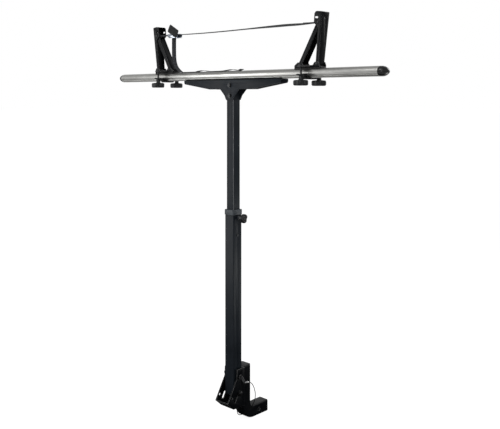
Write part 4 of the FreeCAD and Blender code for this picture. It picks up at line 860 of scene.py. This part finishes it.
class CARRIER_OT_lanyard(Operator):
    """Wire that ties the lock pin to the bracket"""
    bl_idname = "carrier.lanyard"
    bl_label = "Lanyard"

    def execute(self, context):
        low, way = lanyard_ends()
        route = [low + way * 12 * MM] + [at(*p) for p in LANYARD]
        line = self.line(context, route)
        tube = Form().sweep(line, wire_section(LANYARD_DIAMETER / 2 / MM, 14))
        wire = add_piece("lanyard_wire", tube, "wire_sheath", None, "lanyard", smooth=60)
        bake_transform(wire)
        softened("lanyard_eye", "dark_plate", 0.0007)
        return {"FINISHED"}

    def line(self, context, route):
        """Points on the smooth line of the route."""
        curve = bpy.data.curves.new("lanyard_line", "CURVE")
        curve.dimensions = "3D"
        curve.resolution_u = 10
        spline = curve.splines.new("NURBS")
        spline.points.add(len(route) - 1)
        for spot, point in zip(spline.points, route):
            spot.co = (*point, 1)
        spline.order_u = 3
        spline.use_endpoint_u = True
        holder = show("lanyard_line", curve)
        context.view_layer.update()
        smooth = bpy.data.meshes.new_from_object(holder)
        points = [vertex.co.copy() for vertex in smooth.vertices]
        bpy.data.objects.remove(holder)
        return points


class CARRIER_OT_post(Operator):
    """Outer post, collar, boss, guide screw and clamp screw"""
    bl_idname = "carrier.post"
    bl_label = "Outer post"

    def execute(self, context):
        softened("outer_post", "post_coat", corner=(25, 4, 2))
        softened("post_collar", "collar_grey", 0.0009)
        softened("clamp_boss", "post_coat", 0.0008)
        weld_ring("boss_weld", at(25.4, 0, CLAMP_Z), 0.0030, "post_coat", "outer_post")
        screw = Form().lathe(at(25, 0, GUIDE_Z), RIGHT, [
            (5.7, 0), (5.7, 0.8), (5, 1.9), (3.2, 2.4), (2.2, 2.4), (2.2, 1.2), (0.2, 1.2)])
        screw.rod(at(22, 0, GUIDE_Z), RIGHT, 3, 3.2)
        add_piece("guide_screw_set", screw, "dark_plate", "outer_post", "guide_screw")
        thread = [(3.2, 0), (4, 0.8)]
        for i in range(13):
            thread += [(3.5, 16 + i * 1.25), (4, 16.6 + i * 1.25)]
        stud = Form().lathe(at(20.3, 0, CLAMP_Z), RIGHT, thread + [(4, 37.7)])
        add_piece("clamp_stud_set", stud, "zinc_plate", "post_knob", "post_clamp_stud")
        grip = Form().knob(at(47, 0, CLAMP_Z), RIGHT, 3, 20, 22, 8, 9.7, 0.34)
        add_piece("post_knob_grip", grip, "moulded_black", "post_knob", "post_clamp_knob", smooth=50)
        return {"FINISHED"}


class CARRIER_OT_mast(Operator):
    """Inner post, bar bracket and their fasteners"""
    bl_idname = "carrier.mast"
    bl_label = "Mast"

    def execute(self, context):
        # seam=1.0 paints the inner post's long corners fully paler: a painted highlight along them,
        # with some wear.
        softened("inner_post", "post_coat", corner=(20.0, 3.5, 1.8), seam=1.0)
        softened("inner_glide", "moulded_black", 0.0008)
        softened("bar_bracket", "post_coat", 0.0008)
        bolts = Form()
        for z in BRACKET_BOLTS_Z:
            bolts.through_bolt(at(0, 0, z), BACK, 5, BRACKET_Y, 10.5, 1.2)
        add_piece("bracket_bolt_set", bolts, "dark_plate", "mast", "bracket_bolts")
        fixings = Form()
        for x in FIXINGS_X:
            fixings.rod(at(x, 0, TRACK_Z + 6), -UP, 4, 6)
            fixings.lathe(at(x, 0, TRACK_Z + 9.4), -UP, [(7.2, 0), (7.6, 0.4), (7.6, 3.6)])
            fixings.bolt_end(at(x, 0, TRACK_Z), -UP, 4)
        add_piece("bar_fixing_set", fixings, "dark_plate", "mast", "bar_fixings")
        return {"FINISHED"}


class CARRIER_OT_crossbar(Operator):
    """Oval bar and its end caps"""
    bl_idname = "carrier.crossbar"
    bl_label = "Crossbar"

    def execute(self, context):
        softened("crossbar", "anodised_bar", 0.0004, angle=28)
        for side, name in LEFT_RIGHT:
            self.cap(side, "end_cap_" + name)
        return {"FINISHED"}

    def cap(self, side, name):
        """A plug in the bar and a dome over its end, flat below like the bar."""
        steps = 18
        shares = [(-14, 0.88, 0.84), (0, 0.88, 0.84), (0, 0.995, 0.995)]
        for i in range(1, steps + 1):
            t = sin(pi / 2 * i / steps)
            share = 0.995 * max(0.02, (1 - t ** 2.1) ** 0.62) if i < steps else 0.02
            shares.append((CAP_REACH * t, share, share))
        rings = []
        for x, wide, tall in shares:
            ring = []
            for angle in turns(72):
                y = BAR_WIDE * wide * cos(angle)
                z = max(BAR_TALL * tall * sin(angle), BAR_FLAT)
                ring.append(at(side * (BAR_END + x), y, BAR_Z + z))
            rings.append(ring)
        form = Form()
        form.loft(rings)
        add_piece(name + "_dome", form, "cap_black", "mast", name, smooth=40)


class CARRIER_OT_supports(Operator):
    """Both load supports: channels, pads, clamps and pins"""
    bl_idname = "carrier.supports"
    bl_label = "Load supports"

    def execute(self, context):
        for side, name in LEFT_RIGHT:
            for part in ("support_base_", "clamp_yoke_", "clamp_saddle_", "upright_", "brace_"):
                softened(part + name, "black_powder", 0.0006)
            softened("bar_pad_" + name, "pad_rubber", 0.0005)
            self.pins(side, name)
            self.bolts(side, name)
        return {"FINISHED"}

    def pins(self, side, name):
        """Foot, brace and head pin, each with a rounded head at both ends."""
        place = SUPPORT_X[side]
        for part, x, z, half, body in (
                ("foot_pin_", place + FOOT_OUT, FOOT_Z, 22, "support_"),
                ("brace_pin_", place - BRACE_IN, FOOT_Z, 22.3, "brace_"),
                ("head_pin_", place + HEAD_OUT, STRAP_Z, 22.16, "upright_")):
            form = Form().rod(at(side * x, -half, z), BACK, 4, 2 * half)
            for end in (-1, 1):
                form.lathe(at(side * x, end * half, z), BACK * end, [
                    (6.4, 0), (6.4, 0.5), (5.4, 1.3), (3.6, 1.85), (1.2, 2)])
            add_piece(part + name + "_set", form, "dark_plate", body + name, part + name)

    def bolts(self, side, name):
        """The two clamp bolts, each with a round head in the channel."""
        form = Form()
        for end in (-1, 1):
            seat = at(side * SUPPORT_X[side], end * CLAMP_Y, CREST + 9)
            form.lathe(seat, UP, [(10, 0), (10, 0.9), (8.9, 1), (8.4, 2.2), (6.6, 3.4),
                                  (3.6, 4), (0.6, 4.1)])
            form.lathe(seat, -UP, [(4, 0), (4, 71.5), (3.4, 71.8)])
        add_piece("clamp_bolt_set_" + name, form, "dark_plate", "support_" + name,
                  "clamp_bolts_" + name)


class CARRIER_OT_knobs(Operator):
    """Lobed knobs under the clamps"""
    bl_idname = "carrier.knobs"
    bl_label = "Clamp knobs"

    def execute(self, context):
        for side, name in LEFT_RIGHT:
            for end, where in ((-1, "front"), (1, "rear")):
                which = name + "_" + where
                spot = at(side * SUPPORT_X[side], end * CLAMP_Y, KNOB_Z)
                grip = Form().knob(spot, -UP, 5, sizes().knob_radius / MM, 22, 9, 18, 0.2)
                add_piece("knob_grip_" + which, grip, "moulded_black", "knob_" + which,
                          "clamp_knob_" + which, smooth=50)
        return {"FINISHED"}


def sampled(points, steps=6):
    """Points on a smooth line through the given ones."""
    made = []
    last = len(points) - 1
    for i in range(last):
        before, start, end, after = (points[max(0, min(k, last))] for k in range(i - 1, i + 3))
        for k in range(steps):
            t = k / steps
            made.append(0.5 * (2 * start + (end - before) * t
                               + (2 * before - 5 * start + 4 * end - after) * t * t
                               + (3 * start - before - 3 * end + after) * t * t * t))
    return made + points[-1:]


def web_section():
    """Half round edges and slightly raised selvedges."""
    half = sizes().strap_width / 2
    thick = sizes().strap_thickness / 2
    right = [(0, 0.92), (0.5, 0.9), (0.9, 0.86), (0.95, 1), (0.985, 0.7), (1, 0)]
    shares = [(-a, b) for a, b in right[:0:-1]] + right
    top = [(half * a, thick * b) for a, b in shares]
    return top + [(a, -b) for a, b in top[-2:0:-1]]


def eased(value):
    """A soft start and end between 0 and 1."""
    share = max(0, min(1, value))
    return share * share * (3 - 2 * share)


def strap_roll(x):
    """How far the right half of the strap leans over, in radians, at a place along the bar."""
    return radians(13) * eased((x - 40) / 260) * eased((450 - x) / 120)


def webbing(node_name, points, ride=None, blend=None):
    """One length of strap in place of a solid, through x and height over the strap's line. It
    rides one body, or with blend rides none and has its place baked in; blend's bodies and points are
    not used."""
    path = sampled([at(x, 0, STRAP_Z + z) for x, z in points])
    lean = [strap_roll(point.x / MM) for point in path]
    upright = [Vector((0, cos(a), -sin(a))) for a in lean]
    form = Form().sweep(path, web_section(), upright=upright)
    made = add_piece(node_name + "_web", form, "strap_web", None, node_name, smooth=50)
    map_webbing(made, path)
    if ride:
        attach(made, ride)
    if blend:
        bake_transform(made)


def map_webbing(thing, path):
    """Write the strap's own map: width across it, length along it, in metres."""
    lengths = [0]
    for first, second in zip(path, path[1:]):
        lengths.append(lengths[-1] + (second - first).length)
    mesh = thing.data
    layer = mesh.uv_layers.new(name="web")
    where = []
    for vertex in mesh.vertices:
        spot = Vector((vertex.co.x, path[0].y, vertex.co.z))
        near = min(range(len(path)), key=lambda i: (path[i] - spot).length_squared)
        where.append((vertex.co.y - POST_Y * MM, lengths[near]))
    for loop in mesh.loops:
        layer.data[loop.index].uv = where[loop.vertex_index]


class CARRIER_OT_strap(Operator):
    """Strap from head to head, its tail, and its sewn ends"""
    bl_idname = "carrier.strap"
    bl_label = "Strap"

    def execute(self, context):
        buckle = at(BUCKLE_X, 0, STRAP_Z)
        left, join, right = (at(x, 0, STRAP_Z) for x in (-SEAM_X, JOIN_X, SEAM_X))
        webbing("strap_left_end", [(BUCKLE_X, 0), (-350, -0.5), (-325, -1.2), (-SEAM_X, -1.9)],
                blend=("upright_left", "support_left", buckle, left))
        webbing("strap_left_span", [(-SEAM_X, -1.9), (-180, -3.2), (-60, -3), (JOIN_X, -2)],
                blend=("support_left", "mast", left, join))
        webbing("strap_right_span", [(JOIN_X, -2), (130, -1.2), (220, -0.5), (SEAM_X, 0)],
                blend=("mast", "support_right", join, right))
        self.loops(right)
        self.tail()
        return {"FINISHED"}

    def loops(self, seam):
        """The two sewn loops round the head pins."""
        pin = SUPPORT_X[1] + HEAD_OUT
        right = [(SEAM_X, 0), (350, -0.7), (400, -0.9), (430, -0.9)]
        right += [(pin + x, z) for x, z in ROUND_PIN] + [(430, 0.95), (395, 0.95)]
        bodies = ("support_right", "upright_right", seam)
        webbing("strap_right_end", right, blend=bodies + (at(pin - 14, 0, STRAP_Z),))
        pin = -SUPPORT_X[-1] - HEAD_OUT
        left = [(-411, 0.95), (-430, 0.95), (-456, 0.95)]
        left += [(pin - x, -z) for x, z in ROUND_PIN]
        left += [(-456, -0.95), (-430, -0.95), (-411, -0.95)]
        webbing("buckle_loop", left, ride="upright_left")
        box = stitches("strap_right_stitches", self.box(400, 426), None)
        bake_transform(box)
        stitches("strap_left_stitches", self.box(-452, -426), "upright_left")

    def box(self, start, end):
        """A sewn square with its diagonals, on the upper side of the strap."""
        over = STRAP_Z + 1.85
        reach = sizes().strap_width / MM / 2 - 3
        a, b, c, d = (at(x, y, over) for x, y in (
            (start, -reach), (end, -reach), (end, reach), (start, reach)))
        return [[a, b], [b, c], [c, d], [d, a], [a, c], [b, d]]

    def tail(self):
        """The loose end: down from the buckle, then along the crest of the bar."""
        lie = CREST - STRAP_Z + 1.2
        down = [(-386, -2.5), (-386.5, -60), (-385, -105), (-379, -132), (-367, -151), (-351, -164),
                (-335, lie + 0.8), (-325, lie), (-316, lie)]
        humps = [(-316, 0), (-232, 0), (-222, 1.5), (-190, 4.5), (-158, 1.5), (-146, 0), (-70, 0),
                 (-40, 1.5), (-6, 4.5), (24, 1), (36, 0.3), (52, 5)]
        webbing("strap_tail_drop", down, blend=(
            "upright_left", "support_left", at(-386, 0, STRAP_Z), at(-340, 0, CREST)))
        webbing("strap_tail_run", [(x, lie + z) for x, z in humps], blend=(
            "support_left", "mast", at(-316, 0, CREST), at(52, 0, CREST)))
        hem = [[at(x, y, STRAP_Z + lie + z + 1) for y in (-11, 11)]
               for x, z in ((46, 3.2), (40, 1.4))]
        stitches("strap_hem_stitches", hem, "mast", 0.0022)


class CARRIER_OT_buckle(Operator):
    """Cam buckle and its padded cover"""
    bl_idname = "carrier.buckle"
    bl_label = "Buckle"

    def execute(self, context):
        softened("buckle_frame", "buckle_plate", 0.0005)
        softened("cam_lever", "buckle_plate", 0.0004)
        self.cover()
        return {"FINISHED"}

    def spot(self, u, v, face):
        """A point of the cover: u along it and v across from -1 to 1, on its front, -1, its
        back, 1, or its seam, 0. Its corners are rounded and its sides pulled in."""
        half_long = sizes().cover_length / MM / 2
        half_wide = 19
        crown = 3.4
        tilt = radians(29)
        pull = 1 - 0.035 * (1 - u * u) if abs(v) > 0.5 else 1
        bend = 1 - 0.025 * (1 - v * v)
        x = u * half_long * bend * sqrt(1 - 0.16 * v * v * v * v)
        z = v * half_wide * pull * sqrt(1 - 0.12 * u * u * u * u)
        puff = (1 - u ** 6) * (1 - v ** 6)
        fold = 0.35 * sin(u * 5.3 + v * 2.1) * cos(v * 3.7 - u) * puff
        y = face * (crown * puff ** 0.6 + fold * 0.6)
        return at(COVER[0] + x * cos(tilt) + z * sin(tilt), COVER[1] + y,
                  COVER[2] - x * sin(tilt) + z * cos(tilt))

    def sides(self, reach, long_steps, wide_steps, face):
        """The four sides of a square on the cover, as lines of points."""
        corners = [(-1, -1), (1, -1), (1, 1), (-1, 1)]
        lines = []
        for i, (u, v) in enumerate(corners):
            far_u, far_v = corners[(i + 1) % 4]
            steps = wide_steps if i % 2 else long_steps
            lines.append([self.spot(reach * (u + (far_u - u) * k / steps),
                                    reach * (v + (far_v - v) * k / steps), face)
                          for k in range(steps + 1)])
        return lines

    def cover(self):
        """A crowned pad with a piped seam round its edge and a line of stitches on its front."""
        columns = 44
        rows = 28
        form = Form()
        for face in (-1, 1):
            grid = [form.ring([self.spot(2 * i / columns - 1, 2 * j / rows - 1, face)
                               for i in range(columns + 1)]) for j in range(rows + 1)]
            for low, high in zip(grid, grid[1:]):
                for i in range(columns):
                    form.faces.append((low[i], low[i + 1], high[i + 1], high[i]))
        pad = add_piece("buckle_cover_pad", form, "cover_weave", "upright_left",
                        "buckle_cover", smooth=70)
        layer = pad.data.uv_layers.new(name="web")
        for loop in pad.data.loops:
            point = pad.data.vertices[loop.vertex_index].co
            layer.data[loop.index].uv = (point.x, point.z)
        edge = [point for line in self.sides(1, 40, 24, 0) for point in line[:-1]]
        piping = Form().sweep(edge, wire_section(0.95, 10), True, BACK)
        add_piece("buckle_cover_piping", piping, "thread", "upright_left", smooth=80,
                  slot="cover_cloth")
        stitches("buckle_cover_stitches", self.sides(0.84, 24, 24, -1), "upright_left", 0.0021,
                 0.0007, "cover_cloth")


STEPS = (
    CARRIER_OT_stage, CARRIER_OT_lanyard, CARRIER_OT_base, CARRIER_OT_lock_pin, CARRIER_OT_post,
    CARRIER_OT_mast, CARRIER_OT_crossbar, CARRIER_OT_supports, CARRIER_OT_knobs,
    CARRIER_OT_strap, CARRIER_OT_buckle,
)


class CARRIER_PT_panel(Panel):
    """Steps and sizes of the load carrier"""
    bl_label = "Load carrier"
    bl_idname = "CARRIER_PT_panel"
    bl_space_type = "VIEW_3D"
    bl_region_type = "UI"
    bl_category = "Carrier"

    def draw(self, context):
        for group in (context.scene.carrier_sizes, context.scene.carrier_colours):
            for word in group.__annotations__:
                self.layout.prop(group, word)
        for step in STEPS:
            self.layout.operator(step.bl_idname)


CLASSES = (CarrierSizes, CarrierColours) + STEPS + (CARRIER_PT_panel,)


def register():
    for thing in CLASSES:
        bpy.utils.register_class(thing)
    bpy.types.Scene.carrier_sizes = PointerProperty(type=CarrierSizes)
    bpy.types.Scene.carrier_colours = PointerProperty(type=CarrierColours)


def unregister():
    del bpy.types.Scene.carrier_sizes
    del bpy.types.Scene.carrier_colours
    for thing in reversed(CLASSES):
        bpy.utils.unregister_class(thing)


def main():
    register()
    bpy.ops.carrier.stage()
    bpy.ops.carrier.lanyard()
    bpy.ops.carrier.base()
    bpy.ops.carrier.lock_pin()
    bpy.ops.carrier.post()
    bpy.ops.carrier.mast()
    bpy.ops.carrier.crossbar()
    bpy.ops.carrier.supports()
    bpy.ops.carrier.knobs()
    bpy.ops.carrier.strap()
    bpy.ops.carrier.buckle()


if __name__ == "__main__":
    main()
